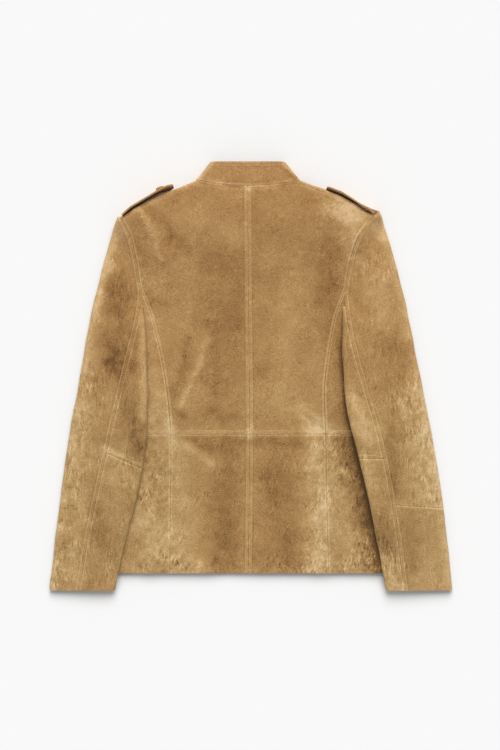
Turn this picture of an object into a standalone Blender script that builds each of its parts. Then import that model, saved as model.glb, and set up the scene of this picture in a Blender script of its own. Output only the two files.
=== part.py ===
"""A suede jacket laid flat on its fronts.

It has a stand collar, a waist seam, a shaped back, two-piece sleeves and shoulder straps.

+Y runs from the hem to the collar, z = 0 is the surface that it lies on, and -X is the wearer's left.
Each cut piece is a grid between its own seams, worked out on the cloth and then folded to its place:
"around" is the distance along the cloth from a fold, "out" the distance from the middle plane.
Sizes are in millimetres until a mesh is made.
"""

import math
from collections import namedtuple

import bmesh
import bpy
import numpy as np

MM = 0.001
WALL = 1.2  # suede and its backing
SKIN = WALL / 2  # from the middle of the wall to its face
SEAM = 0.19  # each piece stops this far from its seam line
COLLAR_SEAM = 0.45
LIE = SKIN  # the middle of the lowest layer

# Heights, from middle of wall to middle of wall
BODY_LOFT = 8.8
SHOULDER_LOFT = 26.0
CHEST_Y = 130.0  # above this the body fills out to the shoulders
SLEEVE_LOFT = 11.5
CUFF_LOFT = 10.5
RIDE = 2.7  # the sleeve's underside above the back that it lies on
RIDE_LOFT = 7.0  # the sleeve's own depth there
RIGHT_LIFT = 3.5  # the right sleeve higher still, along the skirt
SEAM_FADE = 34.0  # a sleeve's top leaves the back's height over this, out from the armhole
HEAD_RISE, HEAD_FADE = 26.0, 58.0  # and over this, from that far above the inner fold's top

# Fold sizes across the cloth
SHOULDER_ROLL = 6.0
SIDE_ROLL = 8.0
OUTER_ROLL = 8.0
INNER_ROLL = 6.0

WAIST_Y = -93.5
HEM_Y = -316.0
CUFF_Y = -343.5
CUFF_FLAT_Y = -323.0  # past the hem the sleeve's top stays level
CUFF_DROP = 4.5  # but it sinks by this from the forearm to the cuff
UNDERARM = (226.0, 97.0)  # out, y
PRINCESS_TOP_Y = 137.0
SIDE_SEAM_IN = 12.0  # the side seam, in from the side fold on the underside
FRONT_MIDDLE = -3.0  # x of the front edges' middle
LAP = 12.0  # each front past that middle
LAP_RISE = 1.6  # the inner front over the outer one

STRAP_WIDTH = 32.0
STRAP_THICK = 2.2
STRAP_CENTRE_Z = 17.4
STRAP_LEAN = 0.16  # outward for each millimetre up, at the free end
BUTTON_RADIUS = 6.5
BUTTON_FROM_TIP = 21.0

# Seam and fold lines: their distance out on each side at a height y
Sides = namedtuple("Sides", "y left right")
OUTER_FOLD = [
    Sides(260, 209.0, 207.0),
    Sides(252, 213.0, 210.5),
    Sides(240, 217.4, 213.6),
    Sides(200, 229.4, 226.4),
    Sides(140, 244.6, 242.6),
    Sides(60, 262.0, 259.0),
    Sides(0, 272.4, 271.0),
    Sides(-80, 286.8, 286.8),
    Sides(-160, 299.6, 300.4),
    Sides(-240, 309.9, 312.0),
    Sides(-343, 321.8, 323.3),
]
INNER_FOLD = [
    Sides(115, 172.8, 148.6),
    Sides(80, 168.8, 147.4),
    Sides(0, 166.3, 149.8),
    Sides(-60, 165.9, 155.4),
    Sides(-100, 167.3, 165.0),
    Sides(-140, 172.3, 174.8),
    Sides(-200, 184.2, 188.8),
    Sides(-260, 199.7, 201.2),
    Sides(-343, 217.2, 217.8),
]
BACK_ARMHOLE = [
    Sides(260, 213.0, 199.4),
    Sides(254, 208.0, 195.0),
    Sides(240, 199.5, 182.0),
    Sides(220, 190.7, 171.3),
    Sides(200, 185.6, 163.5),
    Sides(170, 180.3, 156.5),
    Sides(137, 174.8, 151.0),
    Sides(112, 175.8, 151.8),
]
FRONT_ARMHOLE = [
    Sides(260, 211.0, 200.5),
    Sides(240, 202.0, 191.5),
    Sides(200, 195.0, 185.0),
    Sides(160, 197.0, 190.0),
    Sides(127, 206.0, 206.0),
    Sides(97, 221.0, 221.0),
]
SLEEVE_BACK_SEAM = [
    Sides(115, 175.6, 151.6),
    Sides(100, 177.2, 152.8),
    Sides(60, 186.8, 160.0),
    Sides(0, 201.6, 175.5),
    Sides(-60, 216.0, 193.0),
    Sides(-120, 229.4, 209.2),
    Sides(-180, 242.6, 221.0),
    Sides(-260, 259.6, 234.6),
    Sides(-343, 273.4, 245.6),
]
SLEEVE_FRONT_SEAM = [
    Sides(97, 221.0, 221.0),
    Sides(50, 210.0, 210.0),
    Sides(0, 200.0, 200.0),
    Sides(-94, 194.0, 194.0),
    Sides(-200, 206.0, 206.0),
    Sides(-343, 234.0, 234.0),
]
PRINCESS_SEAM = [
    Sides(137, 174.8, 151.0),
    Sides(120, 166.6, 144.0),
    Sides(80, 154.8, 132.9),
    Sides(40, 144.9, 125.5),
    Sides(-20, 134.2, 118.6),
    Sides(-93.5, 127.6, 120.4),
    Sides(-200, 128.4, 121.9),
    Sides(-316, 129.0, 125.3),
]
SIDE_FOLD = [
    Sides(97, 226.0, 226.0),
    Sides(50, 215.5, 215.5),
    Sides(0, 206.0, 206.0),
    Sides(-93.5, 200.0, 200.0),
    Sides(-200, 212.0, 212.0),
    Sides(-316, 236.0, 236.0),
]
# The middle of the back: x at a height y
Middle = namedtuple("Middle", "y x")
BACK_MIDDLE = [Middle(306, -4.5), Middle(120, -3.2), Middle(-93.5, -1.4), Middle(-316, -3.6)]
# Lines that run across: their height y on each side at a distance out
Across = namedtuple("Across", "out left right")
SHOULDER_LINE = [
    Across(79, 315.8, 311.6),
    Across(87, 311.8, 308.6),
    Across(97, 307.1, 304.6),
    Across(113, 299.8, 299.9),
    Across(129, 294.6, 293.2),
    Across(145, 288.2, 286.9),
    Across(161, 280.4, 278.2),
    Across(177, 272.8, 267.9),
    Across(193, 262.8, 259.6),
    Across(208, 251.4, 256.0),
]
BACK_NECK = [
    Across(-5, 302.8, 302.8),
    Across(25, 303.5, 303.7),
    Across(50, 305.6, 306.3),
    Across(87, 311.8, 312.6),
]
FRONT_NECK = [
    Across(-5, 243.0, 243.0),
    Across(30, 249.0, 249.0),
    Across(60, 273.5, 275.4),
    Across(87, 311.8, 315.2),
]
FRONT_COLLAR_TOP = [
    Across(-5, 283.0, 283.0),
    Across(22, 289.0, 290.0),
    Across(45, 313.0, 318.5),
    Across(62, 340.8, 346.2),
]
COLLAR_TOP_Y = 341.3
NECK_OUT = {-1: 87.0, 1: 79.0}
COLLAR_CORNER = {-1: (63.6, 340.2), 1: (54.6, 340.2)}
SHOULDER_OUT = {-1: 208.0, 1: 200.0}
CAP_Y = {-1: 253.0, 1: 259.0}
INNER_TOP_Y = {-1: 115.0, 1: 112.0}
SIDE_SEAM_TOP_Y = 127.0  # the front armhole's lowest place on the fronts
ELBOW = {-1: (-123.0, -149.0), 1: (-132.0, -131.5)}  # y at the back seam and at the inner fold
PIECING = {-1: -205.0, 1: -205.0}  # y of the seam across the right top sleeve, at the back seam
PIECING_FOLD_Y = -210.0

SUEDE = (0.43, 0.26, 0.11, 1.0)


def curve(rows, place, value):
    """The smooth function through two columns of a table, straight beyond its ends."""
    rows = sorted(rows, key=lambda row: getattr(row, place))
    p = np.array([getattr(row, place) for row in rows], float)
    v = np.array([getattr(row, value) for row in rows], float)
    slope = np.gradient(v, p)

    def at(x):
        x = np.asarray(x, float)
        i = np.clip(np.searchsorted(p, x) - 1, 0, len(p) - 2)
        step = p[i + 1] - p[i]
        t = np.clip((x - p[i]) / step, 0, 1)
        inside = (
            (1 + 2 * t) * (1 - t) ** 2 * v[i]
            + t * (1 - t) ** 2 * step * slope[i]
            + t * t * (3 - 2 * t) * v[i + 1]
            + t * t * (t - 1) * step * slope[i + 1]
        )
        return inside + slope[0] * np.minimum(x - p[0], 0) + slope[-1] * np.maximum(x - p[-1], 0)

    return at


def ease(t):
    """0 below 0, 1 above 1, and a soft step between."""
    t = np.clip(t, 0, 1)
    return t * t * (3 - 2 * t)


def quarter(distance, radius):
    """Height of a quarter round, from 0 at its edge to 1 at the radius."""
    return np.sqrt(1 - (1 - np.clip(distance / radius, 0, 1)) ** 2)


class Side:
    """The seam lines of one half of the jacket; sign is -1 on the wearer's left and 1 on the right."""

    def __init__(self, sign):
        self.sign = sign
        self.name = "left" if sign < 0 else "right"
        column = self.name
        self.outer = curve(OUTER_FOLD, "y", column)
        self.inner = curve(INNER_FOLD, "y", column)
        self.armhole = curve(BACK_ARMHOLE, "y", column)
        self.front_armhole = curve(FRONT_ARMHOLE, "y", column)
        self.back_seam = curve(SLEEVE_BACK_SEAM, "y", column)
        self.front_seam = curve(SLEEVE_FRONT_SEAM, "y", column)
        self.princess = curve(PRINCESS_SEAM, "y", column)
        self.fold = curve(SIDE_FOLD, "y", column)
        self.shoulder = curve(SHOULDER_LINE, "out", column)
        self.back_neck = curve(BACK_NECK, "out", column)
        self.front_neck = curve(FRONT_NECK, "out", column)
        self.front_collar_top = curve(FRONT_COLLAR_TOP, "out", column)
        middle = curve(BACK_MIDDLE, "y", "x")
        self.middle = lambda y: sign * middle(y)
        self.neck_out = NECK_OUT[sign]
        self.shoulder_out = SHOULDER_OUT[sign]
        self.cap_y = CAP_Y[sign]
        self.inner_top = INNER_TOP_Y[sign]
        outs = np.linspace(self.neck_out, self.shoulder_out, 12)
        shoulder = np.column_stack([outs, self.shoulder(outs)])
        corner = [(self.outer(self.cap_y), self.cap_y)]
        self.outline = np.vstack([[COLLAR_CORNER[sign]], shoulder, corner])


SIDES = [Side(-1), Side(1)]


def edge_distance(side, out, y):
    """Distance to the folded edge that runs up the shoulder and the collar's side."""
    point = np.stack(np.broadcast_arrays(np.asarray(out, float), np.asarray(y, float)), -1)
    nearest = np.full(point.shape[:-1], np.inf)
    for start, end in zip(side.outline[:-1], side.outline[1:]):
        along = end - start
        t = np.clip(((point - start) @ along) / (along @ along), 0, 1)
        nearest = np.minimum(nearest, np.linalg.norm(point - start - t[..., None] * along, axis=-1))
    return nearest


def body_loft(side, out, y):
    """Depth of the body away from its folds."""
    top = side.shoulder(np.clip(out, side.neck_out, side.shoulder_out))
    return BODY_LOFT + (SHOULDER_LOFT - BODY_LOFT) * ease((y - CHEST_Y) / (top - CHEST_Y))


def body_skin(side, out, y, upper):
    """Height of the back (upper) or of the fronts, rolled in at the shoulder and the collar's side."""
    loft = body_loft(side, out, y)
    roll = quarter(edge_distance(side, out, y), SHOULDER_ROLL)
    return LIE + loft * (0.5 + 0.5 * roll * (1 if upper else -1))


def half_ellipse(across, height):
    """Length round a half ellipse."""
    a, b = across, height / 2
    return 0.5 * math.pi * (3 * (a + b) - np.sqrt((3 * a + b) * (a + 3 * b)))


def body_place(side, around, y):
    """Cloth of the body: out over the back, round the side fold, and in on the underside."""
    flat = side.fold(np.minimum(y, UNDERARM[1])) - SIDE_ROLL
    loft = body_loft(side, flat, y)
    arc = half_ellipse(SIDE_ROLL, loft)
    turn = np.clip((around - flat) / arc, 0, 1) * math.pi
    beyond = np.maximum(around - flat - arc, 0)
    out = np.minimum(around, flat) + SIDE_ROLL * np.sin(turn) - beyond
    z = np.where(around <= flat, body_skin(side, out, y, True), LIE + loft * (0.5 + 0.5 * np.cos(turn)))
    return out, y, z


def over_body(side, out, y):
    """1 where the sleeve lies on the body, falling to 0 beside it, above the underarm and past the hem."""
    beside = ease((out - side.fold(np.minimum(y, UNDERARM[1])) - 2) / 18)
    edge = np.interp(out, [side.inner(side.inner_top), UNDERARM[0]], [side.inner_top, UNDERARM[1]])
    above = ease((y - edge) / 18)
    past = ease((-y - 323) / 28)
    return (1 - beside) * (1 - above) * (1 - past)


def sleeve_lower(side, out, y):
    """Height of the sleeve's underside."""
    lift = BODY_LOFT + RIDE
    if side.sign > 0:
        lift = lift + RIGHT_LIFT * ease((y + 300) / 90) * ease((-20 - y) / 90)
    return LIE + lift * over_body(side, out, y)


def sleeve_upper(side, out, y):
    """Height of the sleeve's top, meeting the back at the armhole seam."""
    across = np.clip((out - side.inner(y)) / (side.outer(y) - side.inner(y)), 0, 1)
    loft = SLEEVE_LOFT + (CUFF_LOFT - SLEEVE_LOFT) * ease((-200 - y) / 140)
    near_fold = np.minimum(out, side.inner(y) + 10)
    on_body = sleeve_lower(side, near_fold, np.clip(y, CUFF_FLAT_Y, side.inner_top)) + RIDE_LOFT
    on_body = on_body - CUFF_DROP * ease((-230 - y) / 110)
    free = LIE + loft
    top = free + (np.maximum(on_body, free) - free) * ease((1 - across) * 1.15)
    joined = np.maximum((out - side.armhole(y)) / SEAM_FADE, (side.inner_top + HEAD_RISE - y) / HEAD_FADE)
    at_seam = LIE + body_loft(side, np.minimum(out, side.shoulder_out), y)
    return at_seam + (top - at_seam) * ease(joined)


def sleeve_place(side, around, y, edge):
    """Cloth of a sleeve: positive over its top, negative on its underside, from the outer or inner fold."""
    if edge == "outer":
        width = side.outer(y) - np.where(y > side.inner_top, side.armhole(y), side.inner(y))
        radius = np.minimum(OUTER_ROLL, 0.6 * np.maximum(width, 4))
        fold, inward = side.outer(y), -1
    else:
        radius = INNER_ROLL * (0.35 + 0.65 * ease((side.inner_top - y) / 60))
        fold, inward = side.inner(y), 1
    flat = fold + inward * radius
    upper, lower = sleeve_upper(side, flat, y), sleeve_lower(side, flat, y)
    arc = half_ellipse(radius, upper - lower) / 2
    turn = np.clip(np.abs(around) / arc, 0, 1) * math.pi / 2
    beyond = np.maximum(np.abs(around) - arc, 0)
    out = flat - inward * radius * np.cos(turn) + inward * beyond
    top = around >= 0
    level = np.where(top, sleeve_upper(side, out, y), sleeve_lower(side, out, y))
    middle, half = (upper + lower) / 2, (upper - lower) / 2
    rounded = middle + half * np.sin(turn) * np.where(top, 1, -1)
    z = np.where(beyond > 0, level, rounded)
    cap = quarter(edge_distance(side, out, y) + 0.25, SHOULDER_ROLL)
    mean = LIE + body_loft(side, np.minimum(out, side.shoulder_out), y) / 2
    return out, y, np.where(y > UNDERARM[1], mean + (z - mean) * cap, z)


def sleeve_around(side, out, y, edge, top):
    """Cloth distance from a sleeve's fold to a place on its top or underside."""
    if edge == "outer":
        width = side.outer(y) - np.where(y > side.inner_top, side.armhole(y), side.inner(y))
        radius = np.minimum(OUTER_ROLL, 0.6 * np.maximum(width, 4))
        fold, inward = side.outer(y), -1
    else:
        radius = INNER_ROLL * (0.35 + 0.65 * ease((side.inner_top - y) / 60))
        fold, inward = side.inner(y), 1
    flat = fold + inward * radius
    arc = half_ellipse(radius, sleeve_upper(side, flat, y) - sleeve_lower(side, flat, y)) / 2
    reach = np.maximum(inward * (out - flat), 0.3)
    return (arc + reach) * (1 if top else -1)


def spread(points):
    """How far along each point of a border lies, from 0 to 1."""
    steps = np.linalg.norm(np.diff(points, axis=0), axis=1)
    lengths = np.concatenate([[0], np.cumsum(steps)])
    return lengths / lengths[-1]


def patch(bottom, top, start, end):
    """Grid between four borders of points (around, y): rows from bottom to top, columns from start to end."""
    bottom, top, start, end = (np.asarray(border, float) for border in (bottom, top, start, end))
    u = ((spread(bottom) + spread(top)) / 2)[None, :, None]
    v = ((spread(start) + spread(end)) / 2)[:, None, None]
    corners = (
        (1 - u) * (1 - v) * bottom[0] + u * (1 - v) * bottom[-1] + (1 - u) * v * top[0] + u * v * top[-1]
    )
    return (1 - v) * bottom + v * top + (1 - u) * start[:, None] + u * end[:, None] - corners


def set_back(grid, gap=SEAM):
    """The grid with each border moved in from its seam line."""
    grid = grid.copy()
    for rows, inner in ((0, 1), (-1, -2)):
        step = grid[inner] - grid[rows]
        grid[rows] += step * gap / np.linalg.norm(step, axis=-1, keepdims=True)
    for columns, inner in ((0, 1), (-1, -2)):
        step = grid[:, inner] - grid[:, columns]
        grid[:, columns] += step * gap / np.linalg.norm(step, axis=-1, keepdims=True)
    return grid


def cloth(name, grid, thick=WALL):
    """A solid of cloth: a mesh grid set to the given places, thickened to both sides."""
    rows, columns = grid.shape[:2]
    shape = bmesh.new()
    bmesh.ops.create_grid(shape, x_segments=columns - 1, y_segments=rows - 1, size=1)
    for vertex in shape.verts:
        i = round((vertex.co.y + 1) / 2 * (rows - 1))
        j = round((vertex.co.x + 1) / 2 * (columns - 1))
        vertex.co = grid[i, j] * MM
    bmesh.ops.triangulate(shape, faces=shape.faces[:])
    mesh = bpy.data.meshes.new(name)
    shape.to_mesh(mesh)
    shape.free()
    piece = bpy.data.objects.new(name, mesh)
    solidify = piece.modifiers.new("Wall", "SOLIDIFY")
    solidify.thickness = thick * MM
    solidify.offset = 0
    finish(piece)
    return piece


def finish(piece):
    """The piece in the jacket's collection, with a suede of its own."""
    material = bpy.data.materials.new(piece.name)
    material.use_nodes = True
    shader = material.node_tree.nodes["Principled BSDF"]
    shader.inputs["Base Color"].default_value = SUEDE
    shader.inputs["Roughness"].default_value = 0.9
    shader.inputs["Metallic"].default_value = 0
    piece.data.materials.append(material)
    piece.data.shade_smooth()
    piece.data.set_sharp_from_angle(angle=math.radians(50))
    JACKET.objects.link(piece)


def placed(side, out, y, z):
    """World places, in millimetres, with a seam's gap round them."""
    return set_back(np.stack(np.broadcast_arrays(side.sign * out, y, z), -1))


def ends_close(start, stop, count, share=0.5):
    """Places from start to stop that draw together toward stop."""
    t = np.linspace(0, 1, count)
    return start + (stop - start) * ((1 - share) * t + share * np.sin(t * math.pi / 2))


# Rows that neighbours share
BODY_ROWS = np.linspace(WAIST_Y, PRINCESS_TOP_Y, 8)
SKIRT_ROWS = np.linspace(HEM_Y, WAIST_Y, 6)
ROLL_TURNS = np.radians([64, 38, 16, 0])


def armhole_rows(side, low):
    """Heights up an armhole, close together where it turns over the shoulder."""
    top = side.cap_y
    flat = np.linspace(low, top - SHOULDER_ROLL, 5)
    return np.concatenate([flat, top - SHOULDER_ROLL * (1 - np.cos(ROLL_TURNS))])


def back_panel(side):
    rise = armhole_rows(side, PRINCESS_TOP_Y)
    rows = np.concatenate([BODY_ROWS[:-1], rise])
    edge = np.where(rows < PRINCESS_TOP_Y, side.princess(rows), side.armhole(rows))
    end = np.column_stack([edge, rows])
    neck = ends_close(side.middle(306.0), side.neck_out, 6)
    shoulder = np.linspace(side.neck_out, side.armhole(side.cap_y), 6)[1:]
    top = np.concatenate(
        [np.column_stack([neck, side.back_neck(neck)]), np.column_stack([shoulder, side.shoulder(shoulder)])]
    )
    top[-1] = end[-1]
    outs = np.linspace(side.middle(WAIST_Y), side.princess(WAIST_Y), len(top))
    bottom = np.column_stack([outs, np.full(len(top), WAIST_Y)])
    spine = WAIST_Y + (side.back_neck(neck[0]) - WAIST_Y) * spread(end)
    start = np.column_stack([side.middle(spine), spine])
    grid = patch(bottom, top, start, end)
    out, y = grid[..., 0], grid[..., 1]
    z = body_skin(side, out, y, True)
    z[-1, 5:] += 0.25
    cloth(f"back_{side.name}", placed(side, out, y, z))


def side_columns(side, inner, second, y):
    """Cloth distances from a seam on the back, round the side fold, to the side seam."""
    flat = side.fold(np.minimum(y, UNDERARM[1])) - SIDE_ROLL
    arc = half_ellipse(SIDE_ROLL, BODY_LOFT)
    over = np.linspace(second, flat, 4)[:-1]
    return np.concatenate([[inner], over, flat + arc * np.linspace(0, 1, 6), [flat + arc + SIDE_SEAM_IN]])


def side_back(side):
    inner, low = side.princess, side.inner_top
    waist = side_columns(side, inner(WAIST_Y), inner(WAIST_Y) + 14, WAIST_Y)
    bottom = np.column_stack([waist, np.full(len(waist), WAIST_Y)])
    notch = side.inner(low) + 0.4
    head = side_columns(side, side.armhole(PRINCESS_TOP_Y), notch, UNDERARM[1])
    out = body_place(side, head, UNDERARM[1])[0]
    flat = UNDERARM[0] - SIDE_ROLL
    down = np.interp(head, [notch, flat + half_ellipse(SIDE_ROLL, BODY_LOFT) / 2], [low, UNDERARM[1]])
    rising = np.interp(out, [flat - SIDE_SEAM_IN, UNDERARM[0]], [SIDE_SEAM_TOP_Y, UNDERARM[1] - 1])
    down = np.where(head > flat + half_ellipse(SIDE_ROLL, BODY_LOFT) / 2, rising - 1.6, down)
    down[0] = PRINCESS_TOP_Y
    top = np.column_stack([head, down])
    start = np.column_stack([inner(BODY_ROWS), BODY_ROWS])
    rows = WAIST_Y + (down[-1] - WAIST_Y) * spread(start)
    flat = side.fold(np.minimum(rows, UNDERARM[1])) - SIDE_ROLL
    end = np.column_stack([flat + half_ellipse(SIDE_ROLL, BODY_LOFT) + SIDE_SEAM_IN, rows])
    grid = patch(bottom, top, start, end)
    cloth(f"side_back_{side.name}", placed(side, *body_place(side, grid[..., 0], grid[..., 1])))
    return rows


def skirt_back(side):
    outs = np.linspace(side.middle(WAIST_Y), side.princess(WAIST_Y), 11)
    top = np.column_stack([outs, np.full(11, WAIST_Y)])
    low = np.linspace(side.middle(HEM_Y), side.princess(HEM_Y), 11)
    bottom = np.column_stack([low, np.full(11, HEM_Y)])
    start = np.column_stack([side.middle(SKIRT_ROWS), SKIRT_ROWS])
    end = np.column_stack([side.princess(SKIRT_ROWS), SKIRT_ROWS])
    grid = patch(bottom, top, start, end)
    cloth(f"skirt_back_{side.name}", placed(side, *body_place(side, grid[..., 0], grid[..., 1])))


def skirt_side(side):
    rows = [side_columns(side, side.princess(y), side.princess(y) + 14, y) for y in SKIRT_ROWS]
    around = np.array(rows)
    y = np.broadcast_to(SKIRT_ROWS[:, None], around.shape)
    cloth(f"skirt_side_{side.name}", placed(side, *body_place(side, around, y)))


def front(side, side_rows):
    """From the side seam to the front edge, plain, with the left front lapped over on the inside."""
    edge_out = side.sign * FRONT_MIDDLE - LAP
    low_rows = np.concatenate([SKIRT_ROWS[:-1], side_rows])
    seam = side.fold(np.minimum(low_rows, UNDERARM[1])) - SIDE_ROLL - SIDE_SEAM_IN
    rise = armhole_rows(side, side_rows[-1])[1:]
    rows = np.concatenate([low_rows, rise])
    end = np.column_stack([np.concatenate([seam, side.front_armhole(rise)]), rows])
    neck = np.concatenate([[edge_out], ends_close(side.sign * FRONT_MIDDLE, side.neck_out, 8)])
    shoulder = np.linspace(side.neck_out, side.front_armhole(side.cap_y), 6)[1:]
    top = np.concatenate(
        [np.column_stack([neck, side.front_neck(neck)]), np.column_stack([shoulder, side.shoulder(shoulder)])]
    )
    top[-1] = end[-1]
    outs = np.linspace(edge_out, seam[0], len(top))
    bottom = np.column_stack([outs, np.full(len(top), HEM_Y)])
    heights = HEM_Y + (side.front_neck(edge_out) - HEM_Y) * spread(end)
    start = np.column_stack([np.full(len(rows), edge_out), heights])
    grid = patch(bottom, top, start, end)
    out, y = grid[..., 0], grid[..., 1]
    z = body_skin(side, out, y, False)
    if side.sign < 0:
        z = z + LAP_RISE * (1 - ease((out - edge_out - 2 * LAP - 3) / 16))
    z[-1, 8:] -= 0.25
    cloth(f"front_{side.name}", placed(side, out, y, z))


def collar():
    """One band: behind the neck it lies on top, at the throat underneath, folded at both sides."""
    rings = []
    for v in np.linspace(0, 1, 4):
        ring = []
        for side in SIDES:
            neck = ends_close(side.middle(306.0), side.neck_out, 6)
            corner_out, corner_y = COLLAR_CORNER[side.sign]
            tops = ends_close(side.middle(306.0), corner_out, 6)
            high = COLLAR_TOP_Y - (COLLAR_TOP_Y - corner_y) * ease((tops - corner_out + 9) / 9)
            over = (1 - v) * np.column_stack([neck, side.back_neck(neck)]) + v * np.column_stack([tops, high])
            edge_out = side.sign * FRONT_MIDDLE
            base = ends_close(edge_out, side.neck_out, 8)
            rim = ends_close(edge_out, corner_out, 8)
            lows = np.column_stack([base, side.front_neck(base)])
            rims = np.column_stack([rim, side.front_collar_top(rim)])
            under = ((1 - v) * lows + v * rims)[:-1]
            both = np.vstack([over, under[::-1]])
            upper = np.arange(len(both)) < len(over)
            z = np.where(
                upper,
                body_skin(side, both[:, 0], both[:, 1], True),
                body_skin(side, both[:, 0], both[:, 1], False),
            )
            ring.append(np.column_stack([side.sign * both[:, 0], both[:, 1], z]))
        rings.append(np.vstack([ring[0][::-1], ring[1][1:]]))
    cloth("collar", set_back(np.array(rings), COLLAR_SEAM))


def sleeve_stations(side):
    """Heights of the rows on the sleeve's back seam, from cuff to armhole, through the seams across it."""
    elbow, piecing = ELBOW[side.sign][0], PIECING[side.sign]
    return (
        np.concatenate([[CUFF_Y], np.linspace(-322, piecing, 4)]),
        np.linspace(piecing, elbow, 4),
        np.linspace(elbow, side.inner_top - 1, 8),
    )


def front_height(side, y):
    """The height on the front seam that goes with one on the back seam."""
    return CUFF_Y + (UNDERARM[1] - CUFF_Y) * (y - CUFF_Y) / (side.inner_top - 1 - CUFF_Y)


def top_columns(side, y_top, y_under, top_out, under_out):
    """Cloth distances round the top sleeve, from the front seam to the back seam."""
    low = sleeve_around(side, under_out, y_under, "outer", False)
    high = sleeve_around(side, top_out, y_top, "outer", True)
    bend = min(14.0, 0.6 * -low, 0.6 * high)
    return np.concatenate(
        [np.linspace(low, -bend, 6)[:-1], np.linspace(-bend, bend, 6), np.linspace(bend, high, 5)[1:]]
    )


def top_rows(side, ys_top, ys_under, tops, unders):
    """Rows of the top sleeve, each straight round the cloth between its two edges."""
    arounds, heights = [], []
    for y_top, y_under, top_out, under_out in zip(ys_top, ys_under, tops, unders):
        around = top_columns(side, y_top, y_under, top_out, under_out)
        share = (around - around[0]) / (around[-1] - around[0])
        arounds.append(around)
        heights.append(y_under + (y_top - y_under) * share)
    return np.array(arounds), np.array(heights)


def top_sleeve(side):
    lower, middle, upper = sleeve_stations(side)
    seam_top = np.concatenate([lower, middle[1:], upper[1:]])
    seam_under = front_height(side, seam_top)
    hole_top = np.concatenate([[PRINCESS_TOP_Y - 8], armhole_rows(side, PRINCESS_TOP_Y)])
    hole_under = np.concatenate([[112.0], armhole_rows(side, SIDE_SEAM_TOP_Y)])
    ys_top, ys_under = np.concatenate([seam_top, hole_top]), np.concatenate([seam_under, hole_under])
    tops = np.concatenate([side.back_seam(seam_top), side.armhole(hole_top)])
    unders = np.concatenate([side.front_seam(seam_under), side.front_armhole(hole_under)])
    around, y = top_rows(side, ys_top, ys_under, tops, unders)
    split = len(lower) if side.sign > 0 else None
    if split is None:
        cloth("top_sleeve_left", placed(side, *sleeve_place(side, around, y, "outer")))
        return
    fold_drop = PIECING_FOLD_Y - PIECING[side.sign]
    seam = around[split - 1]
    y[split - 1] += fold_drop * (1 - seam / np.where(seam > 0, seam[-1], seam[0]))
    for name, part in (("lower", slice(None, split)), ("upper", slice(split - 1, None))):
        place = sleeve_place(side, around[part], y[part], "outer")
        cloth(f"top_sleeve_right_{name}", placed(side, *place))


def under_sleeve(side):
    lower, middle, upper = sleeve_stations(side)
    elbow_seam, elbow_fold = ELBOW[side.sign]
    for name, ys_top in (("lower", np.concatenate([lower, middle[1:]])), ("upper", upper)):
        arounds, heights = [], []
        for y_top in ys_top:
            y_under = front_height(side, y_top)
            high = sleeve_around(side, side.back_seam(y_top), y_top, "inner", True)
            low = sleeve_around(side, side.front_seam(y_under), y_under, "inner", False)
            bend = min(8.0, 0.6 * -low, 0.6 * high)
            around = np.concatenate(
                [np.linspace(low, -bend, 5)[:-1], np.linspace(-bend, bend, 6), np.linspace(bend, high, 4)[1:]]
            )
            near = ease(1 - abs(y_top - elbow_seam) / 90)
            fold_y = y_top + (elbow_fold - elbow_seam) * near
            y = np.interp(around, [low, 0, high], [y_under, fold_y, y_top])
            arounds.append(around)
            heights.append(y)
        place = sleeve_place(side, np.array(arounds), np.array(heights), "inner")
        cloth(f"under_sleeve_{side.name}_{name}", placed(side, *place))


# Shoulder straps: how far their middle stands off the shoulder line at a distance out
Strap = namedtuple("Strap", "out left right")
STRAP_OFF = [
    Strap(206, 3.8, 4.6),
    Strap(195, 3.9, 5.2),
    Strap(177, 4.5, 5.3),
    Strap(161, 5.8, 5.0),
    Strap(145, 6.8, 5.0),
    Strap(134, 6.9, 5.0),
    Strap(122, 6.6, 4.8),
]
STRAP_ENDS = {-1: (205.0, 122.5), 1: (198.0, 121.0)}


def strap_line(side, outs):
    """Middle of a strap and the direction that it faces, in plan."""
    y = side.shoulder(outs) + curve(STRAP_OFF, "out", side.name)(outs)
    tangent = np.column_stack([np.gradient(outs), np.gradient(y)])
    tangent /= np.linalg.norm(tangent, axis=1)[:, None]
    return y, np.column_stack([tangent[:, 1], -tangent[:, 0]])


def strap(side):
    start, tip = STRAP_ENDS[side.sign]
    rounded = tip + 15 * (1 - np.sin(np.radians([25, 50, 75])))
    outs = np.concatenate([np.linspace(start, tip + 15, 8), rounded])
    y, facing = strap_line(side, outs)
    round_end = np.sqrt(1 - np.clip((tip + 15 - outs) / 16, 0, 1) ** 2)
    lean = STRAP_LEAN * ease((start - outs) / (start - tip))
    rows = []
    for across in np.linspace(-0.5, 0.5, 5):
        rise = across * STRAP_WIDTH * round_end
        place = np.column_stack([outs, y]) + facing * (lean * rise)[:, None]
        rows.append(np.column_stack([side.sign * place[:, 0], place[:, 1], STRAP_CENTRE_Z + rise]))
    cloth(f"shoulder_strap_{side.name}", np.array(rows), STRAP_THICK)


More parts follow.
